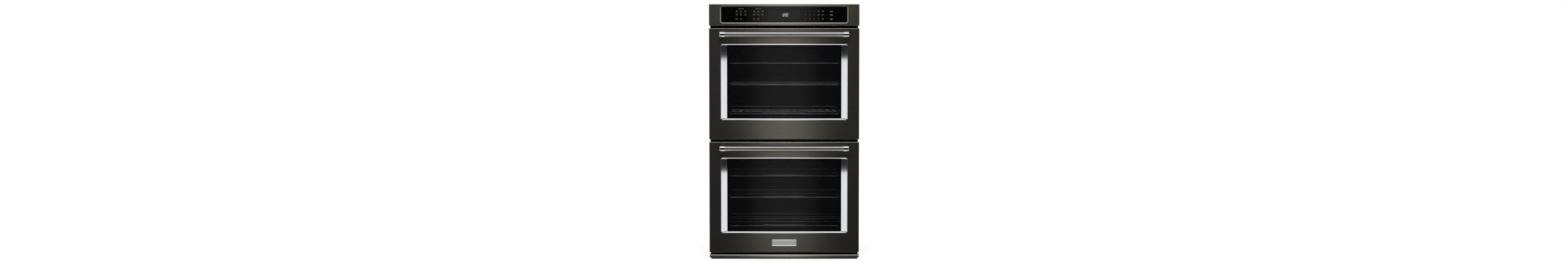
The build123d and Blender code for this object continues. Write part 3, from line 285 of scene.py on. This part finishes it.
# chromed wire: bright, its shine a little uneven
finishes["chrome_wire"] = makeFinish("chromedWire", {
    "Base Color": linear("dadcde"), "Metallic": 1.0}, rough=((12, 12, 12), 0.14, 0.2))[0]

# pad-printed enamel ink: flat pale grey, a little uneven
inkFinish = makeFinish("printedInk", {"Roughness": 0.55}, ((3, 3, 3), "747472", "868684"))[0]

# lit display segments: cool white light from behind, a little uneven
litFinish, tree, shader, place = makeFinish("litSegments", {
    "Base Color": linear("20242a"), "Emission Color": linear("f4f6f8"), "Roughness": 0.3})
tree.links.new(grainSpan(tree, place, (20, 20, 20), 0.6, 0.8), shader.inputs["Emission Strength"])

for entry in frame["record"]["subparts"]:
    node = nodes[entry["node"]]
    node.data.materials.clear()
    node.data.materials.append(finishes[entry["material_slot"]])
    if entry["material_slot"] in ("tinted_glass", "clear_glass"):  # panes dim sight alone, not light
        node.visible_shadow = node.visible_glossy = node.visible_diffuse = False
# the moulding under the doors gets the palest copy of the sheet: a painted highlight
nodes["base_trim"].data.materials[0] = sheets["mouldingPaintedHighlight"]
# the control panel gets a paler copy of the sheet: painted light standing in for the brighter light on it
nodes["control_bezel"].data.materials[0] = sheets["panelPaintedLight"]
for name in ("upper_fan", "lower_fan", "temperature_probes"):  # heat has darkened these too
    nodes[name].data.materials[0] = finishes["element_sheath"]
print("finishes:", len(bpy.data.materials))


# outward quads of a grid of rows and columns; a closed direction joins its last line to its first
def gridQuads(rows, columns, closeRows=False, closeColumns=True):
    r, c = np.meshgrid(np.arange(rows if closeRows else rows - 1),
                       np.arange(columns if closeColumns else columns - 1), indexing="ij")
    nextRow, nextColumn = (r + 1) % rows, (c + 1) % columns
    quads = (r * columns + c, nextRow * columns + c,
             nextRow * columns + nextColumn, r * columns + nextColumn)
    return np.stack(quads, -1).reshape(-1, 4)


# the first and last rings of such a grid, as two faces that close its ends
def endCaps(rows, columns):
    ring = np.arange(columns)
    return [ring, (rows - 1) * columns + ring[::-1]]


# angles spaced evenly round a circle
def anglesRound(count):
    return np.linspace(0, 2 * math.pi, count, endpoint=False)


# each vector divided by its own length
def unit(vectors):
    return vectors / np.linalg.norm(vectors, axis=-1, keepdims=True)


# straight runs joined by arcs: each corner's arc touches both runs, swung from one to the other
def bentPath(corners, bend, steps=7):
    corners = np.asarray(corners, float)
    share = np.linspace(0, 1, steps)[:, None]
    runs = [corners[:1]]
    for before, corner, after in zip(corners, corners[1:], corners[2:]):
        back, on = unit(before - corner), unit(after - corner)
        half = math.acos(float(back @ on)) / 2
        centre = corner + unit(back + on) * bend / math.sin(half)
        start = corner + back * bend / math.tan(half) - centre
        end = corner + on * bend / math.tan(half) - centre
        turn = math.pi - 2 * half
        swing = np.sin((1 - share) * turn) * start + np.sin(share * turn) * end
        runs.append(centre + swing / math.sin(turn))
    return np.concatenate(runs + [corners[-1:]])


# a round-cornered loop in the plane of the doors: a half width to each side, two heights, and a depth
def doorLoop(halfWidth, low, high, y, corner, steps=7):
    return bentPath([(0, y, low), (halfWidth, y, low), (halfWidth, y, high), (-halfWidth, y, high),
                     (-halfWidth, y, low), (0, y, low)], corner, steps)[:-1]


# a ring carried along a path: point + radius (cos a side + sin a up), side square to path and normal
def tubeShell(path, radius, sides, normal, closed=False):
    if closed:
        tangent = unit(np.roll(path, -1, axis=0) - np.roll(path, 1, axis=0))
    else:
        tangent = unit(np.gradient(path, axis=0))
    side = unit(np.cross(tangent, np.asarray(normal, float)))
    up = np.cross(side, tangent)
    angle = anglesRound(sides)[:, None]
    ring = side[:, None] * np.cos(angle) + up[:, None] * np.sin(angle)
    points = path[:, None] + ring * radius
    caps = [] if closed else endCaps(len(path), sides)
    return points.reshape(-1, 3), gridQuads(len(path), sides, closed), caps


# joins shells of points, quads and caps, all in millimetres, into one piece that rides on a body
def addPiece(name, shells, finish, body, replaced=(), crease=35):
    points = np.concatenate([shell[0] for shell in shells]) * mm
    faces, start = [], 0
    for shell in shells:
        faces += (shell[1] + start).tolist() + [(cap + start).tolist() for cap in shell[2]]
        start += len(shell[0])
    mesh = bpy.data.meshes.new(name)
    mesh.from_pydata(points.tolist(), [], faces)
    mesh.shade_smooth()
    mesh.set_sharp_from_angle(angle=math.radians(crease))
    mesh.materials.append(finish)
    piece = bpy.data.objects.new(name, mesh)
    bpy.context.scene.collection.objects.link(piece)
    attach(piece, body)
    if replaced:
        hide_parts(*replaced)
    return piece


# a node's box in millimetres
def boxOf(node):
    return [np.array(corner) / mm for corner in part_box(node)]


# knurled handle bars: the crest radius less a depth times 1 - |cos a cos b|,
# where a and b count the two crossing sets of grooves
knurl = {"around": 26, "pitch": 3.1, "depth": 0.12, "perCell": 4, "crease": 60}
for oven in ovens:
    low, high = boxOf(oven + "_handle_bar")
    crest = (high[2] - low[2]) / 2
    cells = round((high[0] - low[0]) / knurl["pitch"])
    along = np.linspace(low[0], high[0], cells * knurl["perCell"] + 1)[:, None]
    angle = anglesRound(knurl["around"] * knurl["perCell"])[None]
    turns = math.pi * (along - low[0]) / knurl["pitch"]
    spin = angle * knurl["around"] / 2
    groove = 1 - np.abs(np.cos(turns + spin) * np.cos(turns - spin))
    radius = crest - knurl["depth"] * groove
    middle = (low + high) / 2
    points = np.stack([along + 0 * angle, middle[1] - radius * np.cos(angle),
                       middle[2] + radius * np.sin(angle)], -1)
    size = points.shape[:2]
    shell = (points.reshape(-1, 3), gridQuads(*size), endCaps(*size))
    addPiece(oven + "KnurledBar", [shell], finishes["satin_steel"], oven + "_door",
             [oven + "_handle_bar"], knurl["crease"])
print("handle bars knurled")

# wire racks: rings carried along a rail loop, cross bars, and wires turned up at the rear into a guard bar
rack = {"rail": 3.0, "railSides": 12, "corner": 18.0, "bars": (185.0, 312.0), "barSides": 10,
        "holdDepth": 44.0, "holdReach": 104.1, "guard": 17.0, "wires": 17, "wire": 1.9, "wireSides": 8,
        "margin": 10.4, "elbow": 1.6, "elbowSteps": 5}
for oven in ovens:
    for level in ("top", "middle", "bottom"):
        node = oven + "_" + level + "_rack"
        low, high = boxOf(node)
        corner = rack["rail"] * 2 / math.sqrt(3)  # the solids' bars are six-sided
        half = high[0] - corner
        front, rear = low[1] + corner, high[1] - corner
        z = high[2] - rack["rail"] - rack["guard"]
        wireZ = z + rack["rail"] + rack["wire"]
        upright = (0, 0, 1)
        loop = bentPath([(0, front, z), (half, front, z), (half, rear, z), (-half, rear, z),
                         (-half, front, z), (0, front, z)], rack["corner"])[:-1]
        shells = [tubeShell(loop, rack["rail"], rack["railSides"], upright, True)]
        inner = half - rack["rail"]
        bars = [(front + depth, inner, z) for depth in rack["bars"]]
        bars += [(front + rack["holdDepth"], rack["holdReach"], z), (rear, inner, z + rack["guard"])]
        for y, reach, height in bars:
            run = np.array([(-reach, y, height), (reach, y, height)])
            shells.append(tubeShell(run, rack["rail"], rack["barSides"], upright))
        for x in np.linspace(-1, 1, rack["wires"]) * (inner - rack["margin"]):
            start = front + rack["holdDepth"] if abs(x) < rack["holdReach"] - rack["margin"] else front
            route = [(x, start, wireZ), (x, rear, wireZ), (x, rear, z + rack["guard"])]
            run = bentPath(route, rack["wire"] * rack["elbow"], rack["elbowSteps"])
            shells.append(tubeShell(run, rack["wire"], rack["wireSides"], (1, 0, 0)))
        addPiece(oven + level.capitalize() + "RackWires", shells, finishes["chrome_wire"], node,
                 [node])
print("racks drawn")


# a plate with softened edges: a rounded outline drawn in by each row's inset and set at its depth
def plateShell(x, y0, y1, z, halfWidth, halfHeight, corner, soft=0.3, sides=24):
    angle = anglesRound(sides)
    shape = np.stack([np.sign(np.cos(angle)) * (halfWidth - corner) + corner * np.cos(angle),
                      np.sign(np.sin(angle)) * (halfHeight - corner) + corner * np.sin(angle)], -1)
    rows = [(soft, y0), (0.0, y0 + soft), (0.0, y1 - soft), (soft, y1)]
    drawn = [(shape * (1 - inset / np.array([halfWidth, halfHeight])), y) for inset, y in rows]
    points = np.stack([np.column_stack([x + ring[:, 0], np.full(sides, y), z + ring[:, 1]])
                       for ring, y in drawn])
    return points.reshape(-1, 3), gridQuads(len(rows), sides), endCaps(len(rows), sides)


# broil elements: a round sheath bent to and fro under the ceiling, legs through a flange
broil = {"drop": 481.0, "ceiling": 505.0, "passes": (39.0, 117.0, 195.0), "front": 60.0, "rear": 377.3,
         "cross": 437.3, "leg": 26.0, "legEnd": 512.8, "sheath": 3.6, "sides": 12, "bend": 22.0,
         "flange": (38.6, 12.6, 480.8, 482.3), "flangeCorner": 4.0, "clip": (120.0, 6.0), "clipCorner": 1.0}
ovenBase = {"upper": 605.0, "lower": 32.5}
shells = []
for oven in ovens:
    z = ovenBase[oven] + broil["drop"]
    ceiling = ovenBase[oven] + broil["ceiling"]
    near, mid, far = broil["passes"]
    half = [(broil["leg"], broil["legEnd"], z), (broil["leg"], broil["cross"], z), (far, broil["cross"], z),
            (far, broil["front"], z), (mid, broil["front"], z), (mid, broil["rear"], z),
            (near, broil["rear"], z), (near, broil["front"], z)]
    route = half + [(-x, y, height) for x, y, height in reversed(half)]
    shells.append(tubeShell(bentPath(route, broil["bend"]), broil["sheath"], broil["sides"], (0, 0, 1)))
    halfWidth, halfHeight, y0, y1 = broil["flange"]
    shells.append(plateShell(0, y0, y1, z, halfWidth, halfHeight, broil["flangeCorner"]))
    depth, clip = broil["clip"]
    shells += [plateShell(x, depth, depth + 2 * clip, (z + ceiling) / 2, clip, (ceiling - z) / 2,
                          broil["clipCorner"]) for x in (-far, far)]
addPiece("broilSheaths", shells, finishes["element_sheath"], "chassis", ["broil_elements"])
print("broil elements drawn")

# door gaskets: a braided rope round the oven's mouth; its radius swells by the braid's two crossing waves
gasket = {"mouth": (304.0, 85.0, 505.0), "clear": 9.0, "corner": 26.0, "cornerSteps": 24, "radius": 2.85,
          "swell": 0.5, "pitch": 5.0, "strands": 6, "step": 1.2, "sides": 18, "crease": 60}
shells = []
low, high = boxOf("door_gaskets")
for oven in ovens:
    half, sill, head = gasket["mouth"]
    loop = doorLoop(half + gasket["clear"], ovenBase[oven] + sill - gasket["clear"],
                    ovenBase[oven] + head + gasket["clear"], (low[1] + high[1]) / 2, gasket["corner"],
                    gasket["cornerSteps"])
    loop = np.concatenate([loop, loop[:1]])
    reach = np.concatenate([[0], np.cumsum(np.linalg.norm(np.diff(loop, axis=0), axis=1))])
    count = int(reach[-1] / gasket["step"])
    even = np.linspace(0, reach[-1], count, endpoint=False)
    path = np.column_stack([np.interp(even, reach, loop[:, axis]) for axis in range(3)])
    points, quads, caps = tubeShell(path, 1.0, gasket["sides"], (0, 1, 0), True)
    angle = anglesRound(gasket["sides"])[None] * gasket["strands"]
    wave = 2 * math.pi * np.round(reach[-1] / gasket["pitch"]) * even[:, None] / reach[-1]
    braid = np.maximum(np.sin(wave + angle), np.sin(wave - angle))
    radius = gasket["radius"] - gasket["swell"] * (1 - braid) / 2
    points = path[:, None] + (points.reshape(count, gasket["sides"], 3) - path[:, None]) * radius[..., None]
    shells.append((points.reshape(-1, 3), quads, caps))
addPiece("doorGaskets", shells, finishes["woven_gasket"], "chassis", ["door_gaskets"],
         gasket["crease"])
print("gaskets braided")


# a rounded rectangle in x and z: four corner arcs in turn, joined by straight runs
def roundOutline(x0, x1, z0, z1, corner, steps=16):
    angle = np.linspace(0, math.pi / 2, steps) + np.arange(-1, 3)[:, None] * math.pi / 2
    x = np.array([x1 - corner, x1 - corner, x0 + corner, x0 + corner])[:, None] + corner * np.cos(angle)
    z = np.array([z0 + corner, z1 - corner, z1 - corner, z0 + corner])[:, None] + corner * np.sin(angle)
    return np.column_stack([x.ravel(), z.ravel()])


# window trims: a profile carried round the window, from the step behind the skin over the lip and flat bead,
# down the slope to the sill on the glass; insets are at the sides, bottom and top
trim = {"corner": 9.0, "step": 2.0, "skin": 1.5, "soft": 0.4, "bead": 1.5, "sight": (32.0, 8.5, 5.4),
        "sightCorner": 2.5, "slope": 6.5, "topSlope": 3.1, "crease": 8}
for oven in ovens:
    low, high = boxOf(oven + "_window_trim")
    front, back = low[1], high[1]
    edges = [(trim["step"], back), (trim["step"], front + trim["skin"]), (0.0, front + trim["skin"]),
             (0.0, front + trim["soft"]), (trim["soft"], front), (trim["bead"], front)]
    upward = roundOutline(-1, 1, -1, 1, 1)[:, 1].clip(0, 1)
    sill = front + trim["slope"] + (trim["topSlope"] - trim["slope"]) * upward
    rows = [((inset,) * 3, trim["corner"] - inset, y + 0 * upward) for inset, y in edges]
    rows += [(trim["sight"], trim["sightCorner"], y) for y in (sill, back + 0 * upward)]
    outlines = [(roundOutline(low[0] + side, high[0] - side, low[2] + bottom, high[2] - top, corner), y)
                for (side, bottom, top), corner, y in rows]
    points = np.stack([np.column_stack([shape[:, 0], y, shape[:, 1]]) for shape, y in outlines])
    shell = (points.reshape(-1, 3), gridQuads(*points.shape[:2], True)[:, ::-1], [])
    addPiece(oven + "WindowTrim", [shell], finishes["polished_chrome"], oven + "_door",
             [oven + "_window_trim"], trim["crease"])
print("window trims drawn")

# bead along the bevel round the touch glass, in the moulding's pale copy of the sheet (painted highlight): a
# ring carried round the opening
bead = {"half": 321.5, "low": 1189.5, "high": 1278.0, "corner": 12.5, "radius": 1.0, "sides": 10}
loop = doorLoop(bead["half"], bead["low"], bead["high"], boxOf("control_bezel")[0][1], bead["corner"])
shell = tubeShell(loop, bead["radius"], bead["sides"], (0, 1, 0), True)
addPiece("controlBead", [shell], sheets["mouldingPaintedHighlight"], "chassis")

# polished rim on the bare plate: a ring carried round its border, flattened towards the plate
rim = {"inset": 2.5, "radius": 2.2, "sides": 12, "corner": 2.4, "flatten": 0.4}
low, high = boxOf("badge_plate")
loop = doorLoop(high[0] - rim["inset"], low[2] + rim["inset"], high[2] - rim["inset"], low[1],
                rim["corner"])
points, quads, caps = tubeShell(loop, rim["radius"], rim["sides"], (0, 1, 0), True)
points[:, 1] = low[1] + (points[:, 1] - low[1]) * rim["flatten"]
addPiece("badgeRim", [(points, quads, caps)], finishes["polished_chrome"], "lower_door")
print("bead and rim set")


# printed shape: an outline in x and z, carried from the glass face outward by its thickness
def printShell(outline, face, thick):
    count = len(outline)
    rows = [np.column_stack([outline[:, 0], np.full(count, y), outline[:, 1]]) for y in (face - thick, face)]
    return np.concatenate(rows), gridQuads(2, count), endCaps(2, count)


# a bar with round ends: two half circles joined by straight runs
def barOutline(x, z, length, height, sides=16):
    angle = np.linspace(-math.pi / 2, 3 * math.pi / 2, sides, endpoint=False)
    shift = np.where(np.cos(angle) > 1e-9, 1, -1) * (length - height) / 2
    return np.column_stack([x + shift + np.cos(angle) * height / 2, z + np.sin(angle) * height / 2])


# control legends: two dashes for the words of a key, plain digits, and a title and thin rule for each group
legend = {"thick": 0.2, "rows": (1251.0, 1233.0, 1212.0), "dash": (10.5, 1.2), "gap": 3.2, "shorter": 3.0,
          "shortEvery": 3, "wordColumns": (-238, -217, -195, -151, -130, -108),
          "lowColumns": (-238, -217, -151, -130), "pairColumns": (172, 194), "groups": (-217, -130),
          "title": (1263.0, 30.0, 1.8), "rule": (1242.0, 52.0, 0.5), "bold": (237, 15.0, 2.4),
          "under": (13.0, 0.9, 3.8), "digit": 7.0, "digitColumns": (107.0, 128.5, 150.0), "weldPlaces": 4}
glassFace = boxOf("control_glass")[0][1]
top, middle, bottom = legend["rows"]
wordKeys = [(x, z) for x in legend["wordColumns"] for z in (top, middle)]
wordKeys += [(x, bottom) for x in legend["lowColumns"]]
wordKeys += [(x, z) for x in legend["pairColumns"] for z in (top, middle)]
wordKeys.append((legend["pairColumns"][1], bottom))
bars = []
for index, (x, z) in enumerate(wordKeys):
    length, height = legend["dash"]
    for line in (-1, 1):
        cut = legend["shorter"] if (index + line) % legend["shortEvery"] == 0 else 0.0
        bars.append((x, z + line * legend["gap"] / 2, length - cut, height))
bars += [(x, *legend[kind]) for x in legend["groups"] for kind in ("title", "rule")]
x, length, height = legend["bold"]
thinLength, thinHeight, drop = legend["under"]
for z in legend["rows"]:
    bars += [(x, z, length, height), (x, z - drop, thinLength, thinHeight)]
shells = [printShell(barOutline(*bar), glassFace, legend["thick"]) for bar in bars]
addPiece("keyDashes", shells, inkFinish, "chassis")


# a digit from the built-in letter shapes, stood upright on the glass
def digitShell(text, x, z):
    curve = bpy.data.curves.new("digit", "FONT")
    curve.body, curve.size, curve.extrude = text, legend["digit"], legend["thick"] / 2
    curve.align_x, curve.align_y = "CENTER", "CENTER"
    holder = bpy.data.objects.new("digit", curve)
    bpy.context.scene.collection.objects.link(holder)
    mesh = bpy.data.meshes.new_from_object(holder.evaluated_get(bpy.context.evaluated_depsgraph_get()))
    flat = np.empty(len(mesh.vertices) * 3)
    mesh.vertices.foreach_get("co", flat)
    flat = flat.reshape(-1, 3).round(legend["weldPlaces"])
    flat, welded = np.unique(flat, axis=0, return_inverse=True)  # closes the seams
    points = np.column_stack([x + flat[:, 0], glassFace - legend["thick"] / 2 - flat[:, 2], z + flat[:, 1]])
    polygons = [welded.ravel()[list(polygon.vertices)] for polygon in mesh.polygons]
    bpy.data.objects.remove(holder)
    bpy.data.curves.remove(curve)
    bpy.data.meshes.remove(mesh)
    return points, np.empty((0, 4), int), polygons


cells = [(x, z) for z in legend["rows"] for x in legend["digitColumns"]]
digits = [(str(index + 1), x, z) for index, (x, z) in enumerate(cells)]
digits.append(("0", legend["pairColumns"][0], bottom))
addPiece("keyDigits", [digitShell(*digit) for digit in digits], inkFinish, "chassis")

# clock: seven segments a digit, each a leaning six-sided bar
clock = {"digits": "1200", "place": (3.0, 1232.0), "height": 14.0, "width": 6.2, "stroke": 1.4, "split": 0.25,
         "pitch": 7.6, "lean": 0.09, "colon": 2.8, "dots": 2.8, "dotRadius": 1.0, "dotSides": 12}
lit = {"1": "bc", "2": "abged", "0": "abcdef"}
shells = []
half, step = clock["width"] / 2, clock["height"] / 2
spans = {"a": (0, step, False), "g": (0, 0, False), "d": (0, -step, False), "b": (half, step / 2, True),
         "c": (half, -step / 2, True), "e": (-half, -step / 2, True), "f": (-half, step / 2, True)}
places = np.arange(len(clock["digits"])) - (len(clock["digits"]) - 1) / 2
centres = places * clock["pitch"] + np.sign(places) * clock["colon"] / 2


# one lit shape, leaned by its height
def litShell(outline):
    x0, z0 = clock["place"]
    leaned = np.column_stack([x0 + outline[:, 0] + clock["lean"] * outline[:, 1], z0 + outline[:, 1]])
    return printShell(leaned, glassFace, legend["thick"])


for text, centre in zip(clock["digits"], centres):
    for name in lit[text]:
        x, z, upright = spans[name]
        reach, thin = (step if upright else clock["width"]) / 2 - clock["split"], clock["stroke"] / 2
        bar = np.array([(-reach, 0), (thin - reach, -thin), (reach - thin, -thin), (reach, 0),
                        (reach - thin, thin), (thin - reach, thin)])
        bar = bar[:, ::-1] * (-1, 1) if upright else bar
        shells.append(litShell(bar + (centre + x, z)))
angle = anglesRound(clock["dotSides"])
dot = clock["dotRadius"] * np.column_stack([np.cos(angle), np.sin(angle)])
shells += [litShell(dot + (0, z)) for z in (-clock["dots"], clock["dots"])]
addPiece("clockSegments", shells, litFinish, "chassis")
print("control legends printed")

screw = {"washer": 6.2, "rim": 1.0, "flat": 4.0, "head": 4.2, "ease": 0.6, "crown": 0.82, "sides": 12,
         "skew": (0.3, 0.5, 0.8), "inset": 14.0, "ends": 40.0, "rows": 5, "sheet": 1.2}


# hex washer screw: rows of radius and height; the head's radius is the flat over the cosine round each flat
def screwShell(place, outward):
    outward = np.asarray(outward, float)
    side = unit(np.cross(outward, screw["skew"]))
    up = np.cross(outward, side)
    angle = anglesRound(screw["sides"])
    hexagon = screw["flat"] / np.cos(angle % (math.pi / 3) - math.pi / 6)
    washer = np.full(screw["sides"], screw["washer"])
    rows = [(washer, 0.0), (washer, screw["rim"]), (hexagon, screw["rim"]),
            (hexagon, screw["head"] - screw["ease"]), (hexagon * screw["crown"], screw["head"])]
    points = np.stack([place + outward * height + side * (radius * np.cos(angle))[:, None]
                       + up * (radius * np.sin(angle))[:, None] for radius, height in rows])
    size = points.shape[:2]
    return points.reshape(-1, 3), gridQuads(*size)[:, ::-1], [cap[::-1] for cap in endCaps(*size)]


low, high = boxOf("left_side_panel")
outer, back = -low[0], high[1] + screw["sheet"]
low, high = boxOf("rear_cover")
levels = np.linspace(low[2] + screw["ends"], high[2] - screw["ends"], screw["rows"])
screws = []
for side in (-1, 1):
    screws += [screwShell((side * outer, y, z), (side, 0, 0))
               for y in (screw["inset"], back - screw["inset"]) for z in levels]
    screws += [screwShell((side * (outer - screw["inset"]), back, z), (0, 1, 0)) for z in levels]
addPiece("casingScrews", screws, finishes["bright_steel"], "chassis")

# pressed beads down the back: a round-ended outline drawn in by the cosine of a turn and raised by its sine
press = {"width": 16.0, "length": 640.0, "depth": 3.0, "crest": 0.96, "rows": 7, "sides": 24,
         "x": (-120.0, 0.0, 120.0), "z": 420.0}
angle = anglesRound(press["sides"])
rise = np.linspace(0, press["crest"], press["rows"])[:, None] * math.pi / 2
spine = np.where(np.sin(angle) >= 0, 1, -1) * (press["length"] - press["width"]) / 2
acrossX, alongZ = np.cos(angle) * np.cos(rise), np.sin(angle) * np.cos(rise)
shells = []
for x in press["x"]:
    points = np.stack([x + acrossX * press["width"] / 2, back + press["depth"] * np.sin(rise) + 0 * angle,
                       press["z"] + spine + alongZ * press["width"] / 2], -1)
    size = points.shape[:2]
    shells.append((points.reshape(-1, 3), gridQuads(*size), endCaps(*size)))
addPiece("rearBeads", shells, finishes["galvanised_sheet"], "chassis")
print("screws and pressings set")

# floor: pale and matt, white to the camera, with the object's own soft shadow
stage = {"reach": 40.0, "lines": 9, "colours": ("f2f2f1", "f4f4f3"), "patch": 300.0, "lift": 0.55}
grid = np.linspace(-stage["reach"], stage["reach"], stage["lines"])
x, y = np.meshgrid(grid, grid, indexing="ij")
points = np.stack([x, y, np.full_like(x, cadLow[2])], -1).reshape(-1, 3)
mesh = bpy.data.meshes.new("floor")
mesh.from_pydata(points.tolist(), [], gridQuads(stage["lines"], stage["lines"], False, False).tolist())
floor = bpy.data.objects.new("floor", mesh)
bpy.context.scene.collection.objects.link(floor)
material, tree, shader, place = makeFinish("paleFloor", {
    "Roughness": 0.9, "Specular IOR Level": 0.0, "Emission Color": (1, 1, 1, 1)},
    ((stage["patch"],) * 3, *stage["colours"]))
seen = addNode(tree, "LightPath")
glow = addNode(tree, "Math", {"operation": "MULTIPLY"}, {0: seen.outputs["Is Camera Ray"], 1: stage["lift"]})
tree.links.new(glow.outputs[0], shader.inputs["Emission Strength"])
mesh.materials.append(material)
floor.visible_glossy = False  # metal sees the studio world instead
floor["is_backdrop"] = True

# studio world: white to the camera; metal and glass see a white room that is dark straight ahead of the doors
# and brightest overhead and underfoot
room = {"diffuse": 0.6, "bright": 0.5, "dark": 0.02, "edge": 0.35, "core": 0.78, "poles": 0.85,
        "steep": (0.6, 0.85)}
world = bpy.data.worlds.new("studio")
bpy.context.scene.world = world
world.use_nodes = True
tree = world.node_tree
background = tree.nodes["Background"]
heading = addNode(tree, "SeparateXYZ", {}, {"Vector": addNode(tree, "TexCoord").outputs["Generated"]})
ahead = addNode(tree, "Math", {"operation": "MULTIPLY"}, {0: heading.outputs[1], 1: -1.0})
shade = addNode(tree, "MapRange", {"interpolation_type": "SMOOTHSTEP"}, {
    "Value": ahead.outputs[0], 1: room["edge"], 2: room["core"], 3: room["bright"], 4: room["dark"]})
height = addNode(tree, "Math", {"operation": "ABSOLUTE"}, {0: heading.outputs[2]})
start, end = room["steep"]
pole = addNode(tree, "MapRange", {"interpolation_type": "SMOOTHSTEP"}, {
    "Value": height.outputs[0], 1: start, 2: end})
shade = addNode(tree, "Mix", {"data_type": "FLOAT"}, {
    0: pole.outputs[0], 2: shade.outputs[0], 3: room["poles"]})
seen = addNode(tree, "LightPath")
shiny = addNode(tree, "Math", {"operation": "MAXIMUM"}, {
    0: seen.outputs["Is Glossy Ray"], 1: seen.outputs["Is Transmission Ray"]})
level = addNode(tree, "Mix", {"data_type": "FLOAT"}, {
    0: shiny.outputs[0], 2: room["diffuse"], 3: shade.outputs[0]})
level = addNode(tree, "Mix", {"data_type": "FLOAT"}, {
    0: seen.outputs["Is Camera Ray"], 2: level.outputs[0], 3: 1.0})
tree.links.new(level.outputs[0], background.inputs["Strength"])
background.inputs["Color"].default_value = (1, 1, 1, 1)


# a soft lamp: place, aim and size in metres, and brightness as radiance
def addLamp(name, place, aim, size, radiance):
    lamp = bpy.data.lights.new(name, "AREA")
    lamp.shape = "RECTANGLE"
    lamp.size, lamp.size_y = size
    lamp.energy = radiance * math.pi * size[0] * size[1]
    holder = bpy.data.objects.new(name, lamp)
    holder.location = place
    axis = unit(np.array(place, float) - np.array(aim, float))
    side = unit(np.cross((0, 0, 1), axis))
    holder.rotation_euler = Matrix(
        np.column_stack([side, np.cross(axis, side), axis]).tolist()).to_euler()
    holder.visible_camera = False
    bpy.context.scene.collection.objects.link(holder)
    return holder


overhead = {"place": (0, -1.75, 2.6), "aim": (0, 0, 0.75), "size": (1.7, 1.2), "radiance": 1.3}
addLamp("overheadBox", **overhead)

# front strips stand one behind another, for a band with soft edges on the doors; they light all but the round
# bars, which keep an even gleam
strip = {"widths": (0.2, 0.26, 0.32, 0.38, 0.44), "tall": 2.1, "away": 1.6, "step": 0.02, "z": 0.85,
         "radiance": 0.29}
spared = bpy.data.collections.new("spared")
for oven in ovens:
    spared.objects.link(bpy.data.objects[oven + "KnurledBar"])
for member in spared.collection_objects:
    member.light_linking.link_state = "EXCLUDE"
for layer, width in enumerate(strip["widths"]):
    lamp = addLamp("frontStrip", (0, -strip["away"] - strip["step"] * layer, strip["z"]), (0, 0, strip["z"]),
                   (width, strip["tall"]), strip["radiance"])
    lamp.light_linking.receiver_collection = spared

# narrow cards are seen in the polished slopes beside the windows; each oven's has a height, width and length
card = {"x": 0.64, "away": 2.37, "aim": 0.3, "radiance": 1.08, "upper": (0.738, 0.13, 0.434),
        "lower": (0.00125, 0.13, 0.4525)}
for oven in ovens:
    z, width, height = card[oven]
    for side in (-1, 1):
        addLamp(oven + "Card", (side * card["x"], -card["away"], z), (-side * card["aim"], 0, z),
                (width, height), card["radiance"])

# camera: a long lens a little above the middle, as in the photograph
view = {"away": 9.02, "rise": 3.79, "centre": (-0.001, -0.05, 0.6435), "across": 7.897, "sensor": 36.0}
lens = bpy.data.cameras.new("camera")
lens.sensor_width = view["sensor"]
lens.lens = view["sensor"] * view["away"] / view["across"]
camera = bpy.data.objects.new("camera", lens)
tilt = math.radians(view["rise"])
camera.location = np.array(view["centre"]) + view["away"] * np.array([0, -math.cos(tilt), math.sin(tilt)])
camera.rotation_euler = (math.pi / 2 - tilt, 0, 0)
bpy.context.scene.collection.objects.link(camera)
bpy.context.scene.camera = camera
bpy.context.scene.view_settings.view_transform = "Standard"
print("stage, lamps and camera set")

low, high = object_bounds()
